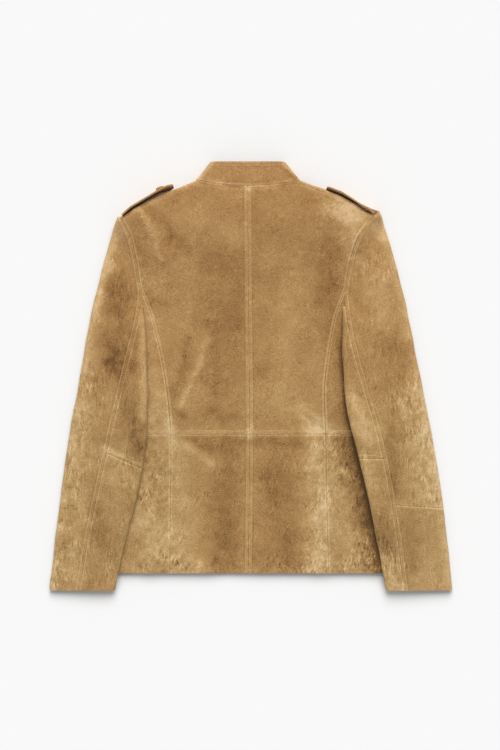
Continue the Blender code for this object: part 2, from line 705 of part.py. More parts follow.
def strap_button(side):
    """A low covered button on the strap's outer face."""
    tip = STRAP_ENDS[side.sign][1]
    outs = np.array([tip + BUTTON_FROM_TIP + 2, tip + BUTTON_FROM_TIP, tip + BUTTON_FROM_TIP - 2])
    y, facing = strap_line(side, outs)
    depth = 3.4 if side.sign < 0 else 2.2
    away = facing[1] * (STRAP_THICK / 2 + 1.2 + depth / 2)
    shape = bmesh.new()
    bmesh.ops.create_cone(
        shape,
        cap_ends=True,
        segments=16,
        radius1=BUTTON_RADIUS * MM,
        radius2=BUTTON_RADIUS * 0.62 * MM,
        depth=depth * MM,
    )
    mesh = bpy.data.meshes.new(f"strap_button_{side.name}")
    shape.to_mesh(mesh)
    shape.free()
    piece = bpy.data.objects.new(mesh.name, mesh)
    piece.location = (
        side.sign * (outs[1] + away[0]) * MM,
        (y[1] + away[1]) * MM,
        STRAP_CENTRE_Z * MM,
    )
    facing_x = side.sign * facing[1, 0]
    piece.rotation_euler = (0, math.pi / 2, math.atan2(facing[1, 1], facing_x))
    finish(piece)


for leftover in list(bpy.data.objects):
    bpy.data.objects.remove(leftover)
JACKET = bpy.data.collections.new("suede_jacket")
bpy.context.scene.collection.children.link(JACKET)

for half in SIDES:
    back_panel(half)
    underarm_rows = side_back(half)
    skirt_back(half)
    skirt_side(half)
    front(half, underarm_rows)
    top_sleeve(half)
    under_sleeve(half)
    strap(half)
    strap_button(half)
collar()
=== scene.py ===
# %% [markdown]
# # A suede jacket laid flat on its fronts
# A soft jacket lies face down on a pale table, so its back, its stand collar and the backs of its sleeves
# show. The CAD nodes give every cut piece its place. Here each piece is made again with a finer surface: the
# cloth swells and sinks a little, the seams pull it in, the topstitching runs beside them, and the nap of the
# suede is brushed lighter in some places and darker in others.
#
# The jacket's frame has +Y toward the collar, z = 0 on the table and -X at the wearer's left.

import math
from collections import namedtuple
from functools import partial

import bpy
import numpy as np
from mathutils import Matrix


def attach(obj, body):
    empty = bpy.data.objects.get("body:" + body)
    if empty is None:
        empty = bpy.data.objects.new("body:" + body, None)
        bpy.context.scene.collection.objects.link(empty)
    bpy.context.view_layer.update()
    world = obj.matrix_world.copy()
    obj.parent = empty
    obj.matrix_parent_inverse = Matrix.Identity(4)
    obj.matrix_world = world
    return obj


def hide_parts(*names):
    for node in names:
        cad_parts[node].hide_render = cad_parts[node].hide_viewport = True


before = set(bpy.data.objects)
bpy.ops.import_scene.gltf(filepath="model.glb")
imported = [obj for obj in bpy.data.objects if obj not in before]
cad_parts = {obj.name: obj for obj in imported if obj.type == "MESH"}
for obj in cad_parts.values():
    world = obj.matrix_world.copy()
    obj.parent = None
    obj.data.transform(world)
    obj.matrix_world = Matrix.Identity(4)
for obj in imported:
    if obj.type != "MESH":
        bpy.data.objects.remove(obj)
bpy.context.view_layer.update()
for thing in bpy.context.selected_objects:
    thing.select_set(False)

# %% [markdown]
# ## The measures of the jacket
# Suede is thin, so its wall is 1.2 mm everywhere, and the shape comes from how deep the body and the sleeves
# lie: about 9 mm over the chest and the skirt, and more at the shoulders, where the armholes hold them open.
# Each seam and fold is a short table: how far out from the middle it runs at some heights, on each side.
# A smooth curve through the table then gives every place between. All of it is in millimetres until a mesh is
# made.

# %% Sizes
MM = 0.001
WALL = 1.2  # suede and its backing
SKIN = WALL / 2  # from the middle of the wall to its face
SEAM = 0.19  # each piece stops this far from its seam line
COLLAR_SEAM = 0.35  # and the collar this far
LIE = SKIN  # the middle of the lowest layer

# Heights, from middle of wall to middle of wall
BODY_LOFT = 8.8
SHOULDER_LOFT = 26.0
CHEST_Y = 130.0  # above this the body fills out to the shoulders
SLEEVE_LOFT = 11.5
CUFF_LOFT = 10.5
RIDE = 2.7  # the sleeve's underside above the back that it lies on
RIGHT_LIFT = 8.5  # the right sleeve higher still, along the skirt
LIFT_FROM_Y, LIFT_TO_Y, LIFT_FADE = -300.0, -20.0, 90.0
RIDE_LOFT = 7.0  # the sleeve's own depth there

# Fold sizes across the cloth
SHOULDER_ROLL = 6.0
SIDE_ROLL = 8.0
OUTER_ROLL = 8.0
INNER_ROLL = 6.0

WAIST_Y = -93.5
HEM_Y = -316.0
CUFF_Y = -343.5
CUFF_FLAT_Y = -323.0  # a sleeve lies on the body down to here
CUFF_DROP, DROP_FROM_Y, DROP_OVER = 4.5, -230.0, 110.0  # but it sinks by this along the forearm
CUFF_TAPER_Y, CUFF_TAPER = -200.0, 140.0  # a sleeve thins to its cuff below here, over this
BESIDE_FADE, HEM_FADE = 18.0, 28.0  # it comes down beside the body over this, and past the hem over this
SEAM_FADE = 34.0  # a sleeve's top leaves the back's height over this, out from the armhole
HEAD_RISE, HEAD_FADE = 26.0, 58.0  # and over this, from that far above the inner fold's top
UNDERARM = (226.0, 97.0)  # out, y
PRINCESS_TOP_Y = 137.0
SIDE_SEAM_IN = 12.0  # the side seam, in from the side fold on the underside
FRONT_MIDDLE = -3.0  # x of the front edges' middle
LAP = 12.0  # each front past that middle
LAP_RISE = 1.6  # the inner front over the outer one

STRAP_WIDTH = 32.0
STRAP_THICK = 2.2
STRAP_CENTRE_Z = 17.4
BUTTON_RADIUS = 6.5
BUTTON_FROM_TIP = 21.0
print(f"wall {WALL} mm, body {BODY_LOFT} mm deep, shoulders {SHOULDER_LOFT} mm, sleeves {SLEEVE_LOFT} mm")

# %% Seam and fold lines that run up the jacket
Sides = namedtuple("Sides", "y left right")
OUTER_FOLD = [
    Sides(260, 209.0, 207.0),
    Sides(252, 213.0, 210.5),
    Sides(240, 217.4, 213.6),
    Sides(200, 229.4, 226.4),
    Sides(140, 244.6, 242.6),
    Sides(60, 262.0, 259.0),
    Sides(0, 272.4, 271.0),
    Sides(-80, 286.8, 286.8),
    Sides(-160, 299.6, 300.4),
    Sides(-240, 309.9, 312.0),
    Sides(-343, 321.8, 323.3),
]
INNER_FOLD = [
    Sides(115, 172.8, 148.6),
    Sides(80, 168.8, 147.4),
    Sides(0, 166.3, 149.8),
    Sides(-60, 165.9, 155.4),
    Sides(-100, 167.3, 165.0),
    Sides(-140, 172.3, 174.8),
    Sides(-200, 184.2, 188.8),
    Sides(-260, 199.7, 201.2),
    Sides(-343, 217.2, 217.8),
]
BACK_ARMHOLE = [
    Sides(260, 213.0, 199.4),
    Sides(254, 208.0, 195.0),
    Sides(240, 199.5, 182.0),
    Sides(220, 190.7, 171.3),
    Sides(200, 185.6, 163.5),
    Sides(170, 180.3, 156.5),
    Sides(137, 174.8, 151.0),
    Sides(112, 175.8, 151.8),
]
FRONT_ARMHOLE = [
    Sides(260, 211.0, 200.5),
    Sides(240, 202.0, 191.5),
    Sides(200, 195.0, 185.0),
    Sides(160, 197.0, 190.0),
    Sides(127, 206.0, 206.0),
    Sides(97, 221.0, 221.0),
]
SLEEVE_BACK_SEAM = [
    Sides(115, 175.6, 151.6),
    Sides(100, 177.2, 152.8),
    Sides(60, 186.8, 160.0),
    Sides(0, 201.6, 175.5),
    Sides(-60, 216.0, 193.0),
    Sides(-120, 229.4, 209.2),
    Sides(-180, 242.6, 221.0),
    Sides(-260, 259.6, 234.6),
    Sides(-343, 273.4, 245.6),
]
SLEEVE_FRONT_SEAM = [
    Sides(97, 221.0, 221.0),
    Sides(50, 210.0, 210.0),
    Sides(0, 200.0, 200.0),
    Sides(-94, 194.0, 194.0),
    Sides(-200, 206.0, 206.0),
    Sides(-343, 234.0, 234.0),
]
PRINCESS_SEAM = [
    Sides(137, 174.8, 151.0),
    Sides(120, 166.6, 144.0),
    Sides(80, 154.8, 132.9),
    Sides(40, 144.9, 125.5),
    Sides(-20, 134.2, 118.6),
    Sides(-93.5, 127.6, 120.4),
    Sides(-200, 128.4, 121.9),
    Sides(-316, 129.0, 125.3),
]
SIDE_FOLD = [
    Sides(97, 226.0, 226.0),
    Sides(50, 215.5, 215.5),
    Sides(0, 206.0, 206.0),
    Sides(-93.5, 200.0, 200.0),
    Sides(-200, 212.0, 212.0),
    Sides(-316, 236.0, 236.0),
]
# The middle of the back: x at a height y
Middle = namedtuple("Middle", "y x")
BACK_MIDDLE = [Middle(306, -4.5), Middle(120, -3.2), Middle(-93.5, -1.4), Middle(-316, -3.6)]
print(f"{len(OUTER_FOLD)} rows place the sleeves' outer folds, {len(PRINCESS_SEAM)} the princess seams")

# %% Lines that run across it
# Their height y on each side, at a distance out
Across = namedtuple("Across", "out left right")
SHOULDER_LINE = [
    Across(79, 315.8, 311.6),
    Across(87, 311.8, 308.6),
    Across(97, 307.1, 304.6),
    Across(113, 299.8, 299.9),
    Across(129, 294.6, 293.2),
    Across(145, 288.2, 286.9),
    Across(161, 280.4, 278.2),
    Across(177, 272.8, 267.9),
    Across(193, 262.8, 259.6),
    Across(208, 251.4, 256.0),
]
BACK_NECK = [
    Across(-5, 302.8, 302.8),
    Across(25, 303.5, 303.7),
    Across(50, 305.6, 306.3),
    Across(87, 311.8, 312.6),
]
FRONT_NECK = [
    Across(-5, 243.0, 243.0),
    Across(30, 249.0, 249.0),
    Across(60, 273.5, 275.4),
    Across(87, 311.8, 315.2),
]
FRONT_COLLAR_TOP = [
    Across(-5, 283.0, 283.0),
    Across(22, 289.0, 290.0),
    Across(45, 313.0, 318.5),
    Across(62, 340.8, 346.2),
]
COLLAR_TOP_Y = 341.3
BACK_NECK_Y = 306.0  # on the middle line, close to the neck seam
NECK_OUT = {-1: 87.0, 1: 79.0}
COLLAR_CORNER = {-1: (63.6, 340.2), 1: (54.6, 340.2)}
SHOULDER_OUT = {-1: 208.0, 1: 200.0}
CAP_Y = {-1: 253.0, 1: 262.5}
INNER_TOP_Y = {-1: 115.0, 1: 112.0}
SIDE_SEAM_TOP_Y = 127.0  # the front armhole's lowest place on the fronts
ELBOW = {-1: (-123.0, -149.0), 1: (-132.0, -131.5)}  # y at the back seam and at the inner fold
PIECING = {-1: -205.0, 1: -205.0}  # y of the seam across the right top sleeve, at the back seam
PIECING_FOLD_Y = -210.0
print(f"shoulders {SHOULDER_OUT[-1]:.0f} mm out on the left, {SHOULDER_OUT[1]:.0f} mm on the right")

# %% [markdown]
# ## Smooth lines from short tables
# A seamstress draws a seam with a curved ruler through a few marks. The helper here does the same: it passes
# a cubic through each pair of rows, with slopes that agree where two cubics meet. More helpers give a soft
# step and a quarter round, which are enough for every roll of cloth on the jacket, and the distance from a
# line.

# %% Curves
def cubic(t, before, after, slope_before, slope_after):
    """From one value to the next as t goes from 0 to 1, with those slopes at its ends."""
    return (
        (1 + 2 * t) * (1 - t) ** 2 * before
        + t * (1 - t) ** 2 * slope_before
        + t * t * (3 - 2 * t) * after
        + t * t * (t - 1) * slope_after
    )


def curve(rows, place, value):
    """The smooth function through two columns of a table, straight beyond its ends."""
    rows = sorted(rows, key=lambda row: getattr(row, place))
    p = np.array([getattr(row, place) for row in rows], float)
    v = np.array([getattr(row, value) for row in rows], float)
    slope = np.gradient(v, p)

    def at(x):
        x = np.asarray(x, float)
        i = np.clip(np.searchsorted(p, x) - 1, 0, len(p) - 2)
        step = p[i + 1] - p[i]
        t = np.clip((x - p[i]) / step, 0, 1)
        inside = cubic(t, v[i], v[i + 1], step * slope[i], step * slope[i + 1])
        return inside + slope[0] * np.minimum(x - p[0], 0) + slope[-1] * np.maximum(x - p[-1], 0)

    return at


def ease(t):
    """0 below 0, 1 above 1, and a soft step between."""
    t = np.clip(t, 0, 1)
    return t * t * (3 - 2 * t)


def quarter(distance, radius):
    """Height of a quarter round, from 0 at its edge to 1 at the radius."""
    return np.sqrt(1 - (1 - np.clip(distance / radius, 0, 1)) ** 2)


def off_line(x, y, points):
    """Distance of places from a line of points."""
    place = np.stack(np.broadcast_arrays(np.asarray(x, float), np.asarray(y, float)), -1)
    points = np.asarray(points, float)
    nearest = np.full(place.shape[:-1], np.inf)
    for start, end in zip(points[:-1], points[1:]):
        along = end - start
        t = np.clip(((place - start) @ along) / (along @ along), 0, 1)
        nearest = np.minimum(nearest, np.linalg.norm(place - start - t[..., None] * along, axis=-1))
    return nearest


print("halfway up a soft step:", float(ease(0.5)))

# %% The two halves
class Side:
    """The seam lines of one half of the jacket; sign is -1 on the wearer's left and 1 on the right."""

    def __init__(self, sign):
        self.sign = sign
        self.name = "left" if sign < 0 else "right"
        column = self.name
        self.outer = curve(OUTER_FOLD, "y", column)
        self.inner = curve(INNER_FOLD, "y", column)
        self.armhole = curve(BACK_ARMHOLE, "y", column)
        self.front_armhole = curve(FRONT_ARMHOLE, "y", column)
        self.back_seam = curve(SLEEVE_BACK_SEAM, "y", column)
        self.front_seam = curve(SLEEVE_FRONT_SEAM, "y", column)
        self.princess = curve(PRINCESS_SEAM, "y", column)
        self.fold = curve(SIDE_FOLD, "y", column)
        self.shoulder = curve(SHOULDER_LINE, "out", column)
        self.back_neck = curve(BACK_NECK, "out", column)
        self.front_neck = curve(FRONT_NECK, "out", column)
        self.front_collar_top = curve(FRONT_COLLAR_TOP, "out", column)
        middle = curve(BACK_MIDDLE, "y", "x")
        self.middle = lambda y: sign * middle(y)
        self.neck_out = NECK_OUT[sign]
        self.shoulder_out = SHOULDER_OUT[sign]
        self.cap_y = CAP_Y[sign]
        self.inner_top = INNER_TOP_Y[sign]
        outs = np.linspace(self.neck_out, self.shoulder_out, 12)
        shoulder = np.column_stack([outs, self.shoulder(outs)])
        corner = [(self.outer(self.cap_y), self.cap_y)]
        # The folded edge that runs up the shoulder and the collar's side
        self.outline = np.vstack([[COLLAR_CORNER[sign]], shoulder, corner])


SIDES = [Side(-1), Side(1)]
print("halves:", [side.name for side in SIDES])

# %% [markdown]
# ## How the cloth lies
# Cloth keeps its length when it folds. So each piece is laid out flat first, where "around" is the distance
# along the cloth from a fold. Then it is put in its place: over the back, round the side fold, and in
# underneath. The height is half the depth up or down from the middle, and a quarter round closes it along the
# shoulder and the sides of the collar.

# %% The body's place
def body_loft(side, out, y):
    """Depth of the body away from its folds."""
    top = side.shoulder(np.clip(out, side.neck_out, side.shoulder_out))
    return BODY_LOFT + (SHOULDER_LOFT - BODY_LOFT) * ease((y - CHEST_Y) / (top - CHEST_Y))


def body_skin(side, out, y, upper):
    """Height of the back (upper) or of the fronts, rolled in at the shoulder and the collar's side."""
    loft = body_loft(side, out, y)
    roll = quarter(off_line(out, y, side.outline), SHOULDER_ROLL)
    return LIE + loft * (0.5 + 0.5 * roll * (1 if upper else -1))


def half_ellipse(across, height):
    """Length round a half ellipse."""
    a, b = across, height / 2
    return 0.5 * math.pi * (3 * (a + b) - np.sqrt((3 * a + b) * (a + 3 * b)))


def body_place(side, around, y):
    """Cloth of the body: out over the back, round the side fold, and in on the underside."""
    flat = side.fold(np.minimum(y, UNDERARM[1])) - SIDE_ROLL
    loft = body_loft(side, flat, y)
    arc = half_ellipse(SIDE_ROLL, loft)
    turn = np.clip((around - flat) / arc, 0, 1) * math.pi
    beyond = np.maximum(around - flat - arc, 0)
    out = np.minimum(around, flat) + SIDE_ROLL * np.sin(turn) - beyond
    z = np.where(around <= flat, body_skin(side, out, y, True), LIE + loft * (0.5 + 0.5 * np.cos(turn)))
    return out, y, z


print("depth at the chest:", float(body_loft(SIDES[0], 100.0, 60.0)), "mm")

# %% [markdown]
# The sleeves lie half on the body and half on the table, so the underside of a sleeve slopes from one to the
# other, and its top meets the back at the armhole. The right sleeve stands off the body a little more, and
# so it throws the wider shadow.

# %% The sleeves' place
def over_body(side, out, y):
    """1 where the sleeve lies on the body, falling to 0 beside it, above the underarm and past the hem."""
    beside = ease((out - side.fold(np.minimum(y, UNDERARM[1])) - 2) / BESIDE_FADE)
    edge = np.interp(out, [side.inner(side.inner_top), UNDERARM[0]], [side.inner_top, UNDERARM[1]])
    above = ease((y - edge) / BESIDE_FADE)
    past = ease((CUFF_FLAT_Y - y) / HEM_FADE)
    return (1 - beside) * (1 - above) * (1 - past)


def sleeve_lower(side, out, y):
    """Height of the sleeve's underside."""
    lift = BODY_LOFT + RIDE
    if side.sign > 0:
        lift = lift + RIGHT_LIFT * ease((y - LIFT_FROM_Y) / LIFT_FADE) * ease((LIFT_TO_Y - y) / LIFT_FADE)
    return LIE + lift * over_body(side, out, y)


def sleeve_upper(side, out, y):
    """Height of the sleeve's top, meeting the back at the armhole seam."""
    across = np.clip((out - side.inner(y)) / (side.outer(y) - side.inner(y)), 0, 1)
    loft = SLEEVE_LOFT + (CUFF_LOFT - SLEEVE_LOFT) * ease((CUFF_TAPER_Y - y) / CUFF_TAPER)
    near_fold = np.minimum(out, side.inner(y) + 10)
    on_body = sleeve_lower(side, near_fold, np.clip(y, CUFF_FLAT_Y, side.inner_top)) + RIDE_LOFT
    on_body = on_body - CUFF_DROP * ease((DROP_FROM_Y - y) / DROP_OVER)
    free = LIE + loft
    top = free + (np.maximum(on_body, free) - free) * ease((1 - across) * 1.15)
    joined = np.maximum((out - side.armhole(y)) / SEAM_FADE, (side.inner_top + HEAD_RISE - y) / HEAD_FADE)
    at_seam = LIE + body_loft(side, np.minimum(out, side.shoulder_out), y)
    return at_seam + (top - at_seam) * ease(joined)


def sleeve_roll(side, y, edge):
    """The roll at a sleeve's outer or inner fold: where the level cloth starts, the way in, the radius, the
    heights above and below, and the length of cloth over its upper half."""
    if edge == "outer":
        width = side.outer(y) - np.where(y > side.inner_top, side.armhole(y), side.inner(y))
        radius = np.minimum(OUTER_ROLL, 0.6 * np.maximum(width, 4))
        fold, inward = side.outer(y), -1
    else:
        radius = INNER_ROLL * (0.35 + 0.65 * ease((side.inner_top - y) / 60))
        fold, inward = side.inner(y), 1
    flat = fold + inward * radius
    upper, lower = sleeve_upper(side, flat, y), sleeve_lower(side, flat, y)
    return flat, inward, radius, upper, lower, half_ellipse(radius, upper - lower) / 2


def sleeve_place(side, around, y, edge):
    """Cloth of a sleeve: positive over its top, negative on its underside, from the outer or inner fold."""
    flat, inward, radius, upper, lower, arc = sleeve_roll(side, y, edge)
    turn = np.clip(np.abs(around) / arc, 0, 1) * math.pi / 2
    beyond = np.maximum(np.abs(around) - arc, 0)
    out = flat - inward * radius * np.cos(turn) + inward * beyond
    top = around >= 0
    level = np.where(top, sleeve_upper(side, out, y), sleeve_lower(side, out, y))
    middle, half = (upper + lower) / 2, (upper - lower) / 2
    rounded = middle + half * np.sin(turn) * np.where(top, 1, -1)
    z = np.where(beyond > 0, level, rounded)
    cap = quarter(off_line(out, y, side.outline) + 0.25, SHOULDER_ROLL)
    mean = LIE + body_loft(side, np.minimum(out, side.shoulder_out), y) / 2
    return out, y, np.where(y > UNDERARM[1], mean + (z - mean) * cap, z)


def sleeve_around(side, out, y, edge, top):
    """Cloth distance from a sleeve's fold to a place on its top or underside."""
    flat, inward, _, _, _, arc = sleeve_roll(side, y, edge)
    reach = np.maximum(inward * (out - flat), 0.3)
    return (arc + reach) * (1 if top else -1)


print("left sleeve at the elbow:", round(float(sleeve_lower(SIDES[0], 185.0, -120.0)), 1), "mm up")

# %% Grids between seams
def spread(points):
    """How far along each point of a border lies, from 0 to 1."""
    steps = np.linalg.norm(np.diff(points, axis=0), axis=1)
    lengths = np.concatenate([[0], np.cumsum(steps)])
    return lengths / lengths[-1]


def patch(bottom, top, start, end):
    """Grid between four borders of points (around, y): rows from bottom to top, columns from start to end."""
    bottom, top, start, end = (np.asarray(border, float) for border in (bottom, top, start, end))
    u = ((spread(bottom) + spread(top)) / 2)[None, :, None]
    v = ((spread(start) + spread(end)) / 2)[:, None, None]
    corners = (
        (1 - u) * (1 - v) * bottom[0] + u * (1 - v) * bottom[-1] + (1 - u) * v * top[0] + u * v * top[-1]
    )
    return (1 - v) * bottom + v * top + (1 - u) * start[:, None] + u * end[:, None] - corners


def set_back(grid, gap=SEAM):
    """The grid with each border moved in from its seam line."""
    grid = grid.copy()
    for rows, inner in ((0, 1), (-1, -2)):
        step = grid[inner] - grid[rows]
        grid[rows] += step * gap / np.linalg.norm(step, axis=-1, keepdims=True)
    for columns, inner in ((0, 1), (-1, -2)):
        step = grid[:, inner] - grid[:, columns]
        grid[:, columns] += step * gap / np.linalg.norm(step, axis=-1, keepdims=True)
    return grid


def placed(side, out, y, z):
    """World places, in millimetres, with a seam's gap round them."""
    return set_back(np.stack(np.broadcast_arrays(side.sign * out, y, z), -1))


def finer(grid, step):
    """More rows and columns, at most step apart, and one more close to each border."""
    for axis in (0, 1):
        grid = np.moveaxis(grid, axis, 0)
        count = len(grid)
        lengths = np.linalg.norm(np.diff(grid, axis=0), axis=-1).mean(axis=1)
        places = []
        for i, length in enumerate(lengths):
            inside = i + np.linspace(0, 1, math.ceil(length / step) + 1)[:-1]
            first = [i + BORDER_ROW / length] if i == 0 else []
            last = [i + 1 - BORDER_ROW / length] if i == count - 2 else []
            places.append(np.concatenate([inside[:1], first, inside[1:], last]))
        at = np.concatenate([*places, [count - 1]])
        i = np.minimum(at.astype(int), count - 2)
        f = (at - i)[:, None, None]
        if axis == 0:
            slope = np.gradient(grid, axis=0)
            grid = cubic(f, grid[i], grid[i + 1], slope[i], slope[i + 1])
        else:
            grid = (1 - f) * grid[i] + f * grid[i + 1]
        grid = np.moveaxis(grid, 0, axis)
    return grid


BORDER_ROW = 1.0
FINE, COARSE = 2.6, 5.0  # between rows on what shows, and underneath
print(f"rows {FINE} mm apart on the back, {COARSE} mm underneath")

# %% [markdown]
# ## The unevenness of a worn jacket
# Nothing on a real jacket is quite level. A few crossing waves of seeded, uneven direction make a surface
# that swells and sinks without a pattern. The listed creases come on top: each is a soft ridge or
# trough along a line of two to four points.

# %% Swells and strokes
def swell(x, y, size, seed):
    """Soft uneven ups and downs of about that size, mostly from -1 to 1."""
    draw = np.random.default_rng(seed)
    total = np.zeros(np.shape(x))
    for _ in range(WAVES):
        turn, phase = draw.uniform(0, 2 * math.pi, 2)
        length = size * draw.uniform(0.7, 1.5)
        total += np.sin(2 * math.pi * (x * math.cos(turn) + y * math.sin(turn)) / length + phase)
    return total / math.sqrt(WAVES)


def near_line(x, y, points, width):
    """1 on a line of points, falling softly to 0 beyond the width."""
    return np.exp(-((off_line(x, y, points) / width) ** 2))


WAVES = 7
print("swell at three places:", swell(np.array([0.0, 50.0, 90.0]), np.zeros(3), 60, 1).round(2))

# %% Creases
Crease = namedtuple("Crease", "height width points")
CREASES = [
    Crease(1.5, 8, [(-182, 262), (-161, 246), (-149, 222), (-141, 186)]),  # beside the left shoulder blade
    Crease(-1.3, 10, [(-165, 258), (-137, 241), (-125, 220), (-97, 193)]),
    Crease(1.4, 7, [(-68, 56), (-80, 24), (-92, -9), (-114, -54)]),
    Crease(-1.2, 8, [(-99, 57), (-104, 21), (-121, -33)]),
    Crease(1.2, 7, [(-105, -111), (-62, -143)]),  # under the waist seam
    Crease(-1.0, 10, [(-90, -105), (80, -112)]),
    Crease(-1.0, 4, [(79, -62), (114, -86)]),
    Crease(0.9, 5, [(88, -58), (118, -74)]),
    Crease(-1.4, 12, [(118, 228), (128, 150), (112, 70)]),  # beside the right shoulder blade
    Crease(1.6, 16, [(140, 285), (172, 235), (186, 200)]),
    Crease(1.5, 18, [(-165, -150), (-160, -316)]),  # the skirt's soft flutes
    Crease(-1.3, 16, [(-40, -150), (-38, -316)]),
    Crease(-1.3, 14, [(35, -170), (55, -300)]),
    Crease(1.6, 18, [(110, -120), (114, -316)]),
    Crease(-1.2, 8, [(-228, -108), (-186, -100)]),  # bends of the left elbow
    Crease(1.0, 6, [(-230, -96), (-184, -86)]),
    Crease(-1.4, 12, [(-218, 20), (-196, -46), (-188, -88)]),
    Crease(-1.2, 9, [(226, -72), (231, -195)]),  # down the right sleeve
    Crease(1.4, 14, [(252, -15), (272, -80), (286, -150)]),
    Crease(-1.0, 7, [(168, -122), (206, -118)]),
    Crease(1.0, 8, [(172, -60), (196, -46)]),
    Crease(-1.1, 12, [(252, -235), (258, -310)]),
    Crease(-1.1, 14, [(-250, -230), (-242, -290)]),
]
UNDER_CREASES = [
    Crease(-0.9, 12, [(-150, 180), (-90, 120), (-60, 40)]),
    Crease(-0.8, 14, [(150, 170), (110, 90), (70, 60)]),
    Crease(-0.8, 12, [(-180, -60), (-110, -90), (-40, -80)]),
    Crease(-0.8, 12, [(170, -70), (90, -100), (30, -86)]),
    Crease(-0.7, 16, [(-120, -180), (-130, -310)]),
    Crease(-0.7, 16, [(100, -170), (120, -310)]),
    Crease(-0.7, 9, [(-290, -100), (-240, -120)]),
    Crease(-0.7, 9, [(290, -110), (240, -125)]),
]
print(len(CREASES), "creases on the back,", len(UNDER_CREASES), "underneath")


# %% Relief
Swell = namedtuple("Swell", "height size seed")
SWELLS = [Swell(0.55, 120, 3), Swell(0.3, 52, 5), Swell(0.12, 23, 8)]
PUCKER = Swell(0.3, 9, 13)  # close to the seams only
Roll = namedtuple("Roll", "height off width")
SEAM_ROLLS = [Roll(-0.28, 0.0, 1.4), Roll(0.25, 3.6, 2.4)]  # a seam is sunk, and raised on both sides


def relief(x, y, z, up, seam, calm):
    """How far the cloth stands off its smooth shape: up is its normal's rise, seam the distance to a seam."""
    waves = sum(s.height * swell(x, y, s.size, s.seed) for s in SWELLS)
    top = sum(c.height * near_line(x, y, c.points, c.width) for c in CREASES)
    below = sum(c.height * near_line(x, y, c.points, c.width) for c in UNDER_CREASES)
    pucker = PUCKER.height * swell(x, y, PUCKER.size, PUCKER.seed) * np.exp(-seam / 6)
    dip = sum(r.height * np.exp(-(((seam - r.off) / r.width) ** 2)) for r in SEAM_ROLLS)
    height = (waves + top * ease(2 * up)) * calm + (pucker + dip) * (0.4 + 0.6 * calm)
    resting = ease(-2 * up)
    lifted = np.minimum(waves * 0.5 + below - 0.2, 0)
    return height * (1 - resting) + np.where(z < 4, lifted, np.minimum(height * 0.4, 0)) * resting


print("relief is worked out for each point of a grid")

# %% [markdown]
# ## Where the nap is brushed, and where light is painted
# Suede is leather with its fibres raised. Where they are brushed one way the jacket is pale, and where they
# lie the other way it is dark, so most patches aren't folds at all. Some strokes are painted highlights on
# folds and edges, and painted shadow lies beside the right sleeve. They are painted here as soft strokes with
# a tone from -1 (dark) to 1 (pale), and a wavy shift of the places gives each stroke a ragged edge.

# %% Strokes on the back and the skirt
Stroke = namedtuple("Stroke", "tone width points")
BACK_NAP_AND_HIGHLIGHTS = [
    Stroke(0.6, 4, [(-62, 306), (-34, 302.5), (0, 301), (30, 302), (44, 304)]),  # below the neck seam
    Stroke(-0.4, 4, [(-36, 308), (0, 306.5), (30, 307)]),
    Stroke(0.5, 5, [(-4, 303), (-4, 296)]),
    # painted highlights along the collar's turned sides, in this stroke and the next
    Stroke(0.5, 5, [(-63, 336), (-72, 326), (-80, 317), (-92, 309)]),  # the collar's sides
    Stroke(0.5, 4, [(53, 335), (62, 329), (70, 322), (78, 315)]),
    Stroke(-0.5, 4, [(58, 325), (66, 319), (72, 314)]),
    # painted highlight along both shoulder lines, lifting the shade that the straps throw there
    Stroke(0.6, 8, [(-84, 314), (-130, 296), (-170, 278), (-208, 254)]),  # shoulder lines
    Stroke(0.6, 8, [(80, 314), (130, 294), (170, 274), (202, 254)]),
    Stroke(0.12, 6, [(-4, 300), (-2, -90), (-4, -314)]),  # middle seam
    Stroke(0.7, 6, [(-1, -84), (-1, -96)]),
    Stroke(0.22, 5, [(-165, -91), (0, -90), (160, -89)]),  # waist seam
    Stroke(0.6, 9, [(-130, -80), (-124, -96)]),
    Stroke(0.6, 4, [(-127, -91), (-127, -98)]),
    Stroke(0.7, 12, [(96, -86), (120, -80)]),
    Stroke(0.4, 10, [(80, -50), (104, -84)]),
    Stroke(0.45, 7, [(-178, 132), (-162, 90)]),
    Stroke(0.2, 17, [(-160, 90), (-158, -60)]),
    Stroke(0.3, 12, [(-148, -40), (-150, -86)]),
    Stroke(0.35, 5, [(-137, -24), (-132, -86)]),
    Stroke(
        0.4, 5, [(-68, 56), (-77, 43), (-80, 24), (-87, 5), (-92, -9), (-103, -23), (-107, -36), (-114, -54)]
    ),
    Stroke(0.3, 5, [(-80, 26), (-88, 4)]),
    Stroke(0.4, 5, [(-182, 268), (-163, 248), (-152, 222), (-146, 186)]),
    Stroke(-0.28, 8, [(-160, 252), (-140, 240), (-127, 224)]),
    Stroke(-0.16, 11, [(-127, 224), (-110, 204), (-97, 193)]),
    Stroke(0.2, 24, [(-100, 250), (-30, 230)]),
    Stroke(-0.26, 32, [(-54, 165), (-34, 80)]),
    Stroke(-0.4, 7, [(-99, 57), (-104, 21), (-113, -7), (-121, -33)]),
    Stroke(-0.3, 16, [(-60, 70), (-56, -20)]),
    Stroke(-0.36, 20, [(120, 204), (124, 75)]),
    Stroke(-0.15, 14, [(126, 160), (134, 142)]),
    Stroke(-0.25, 8, [(143, 198), (150, 186)]),
    Stroke(-0.35, 12, [(-164, 128), (-146, 112)]),
    Stroke(-0.4, 12, [(-66, -56), (-36, -68)]),
    Stroke(-0.4, 7, [(-116, -60), (-104, -66)]),
    Stroke(-0.12, 10, [(10, 290), (12, 205)]),
    Stroke(-0.17, 50, [(-20, 150), (-10, 10)]),
    Stroke(0.72, 18, [(136, 282), (150, 262)]),
    Stroke(0.75, 24, [(156, 252), (182, 214)]),
    Stroke(0.15, 30, [(50, 120), (60, -40)]),
]
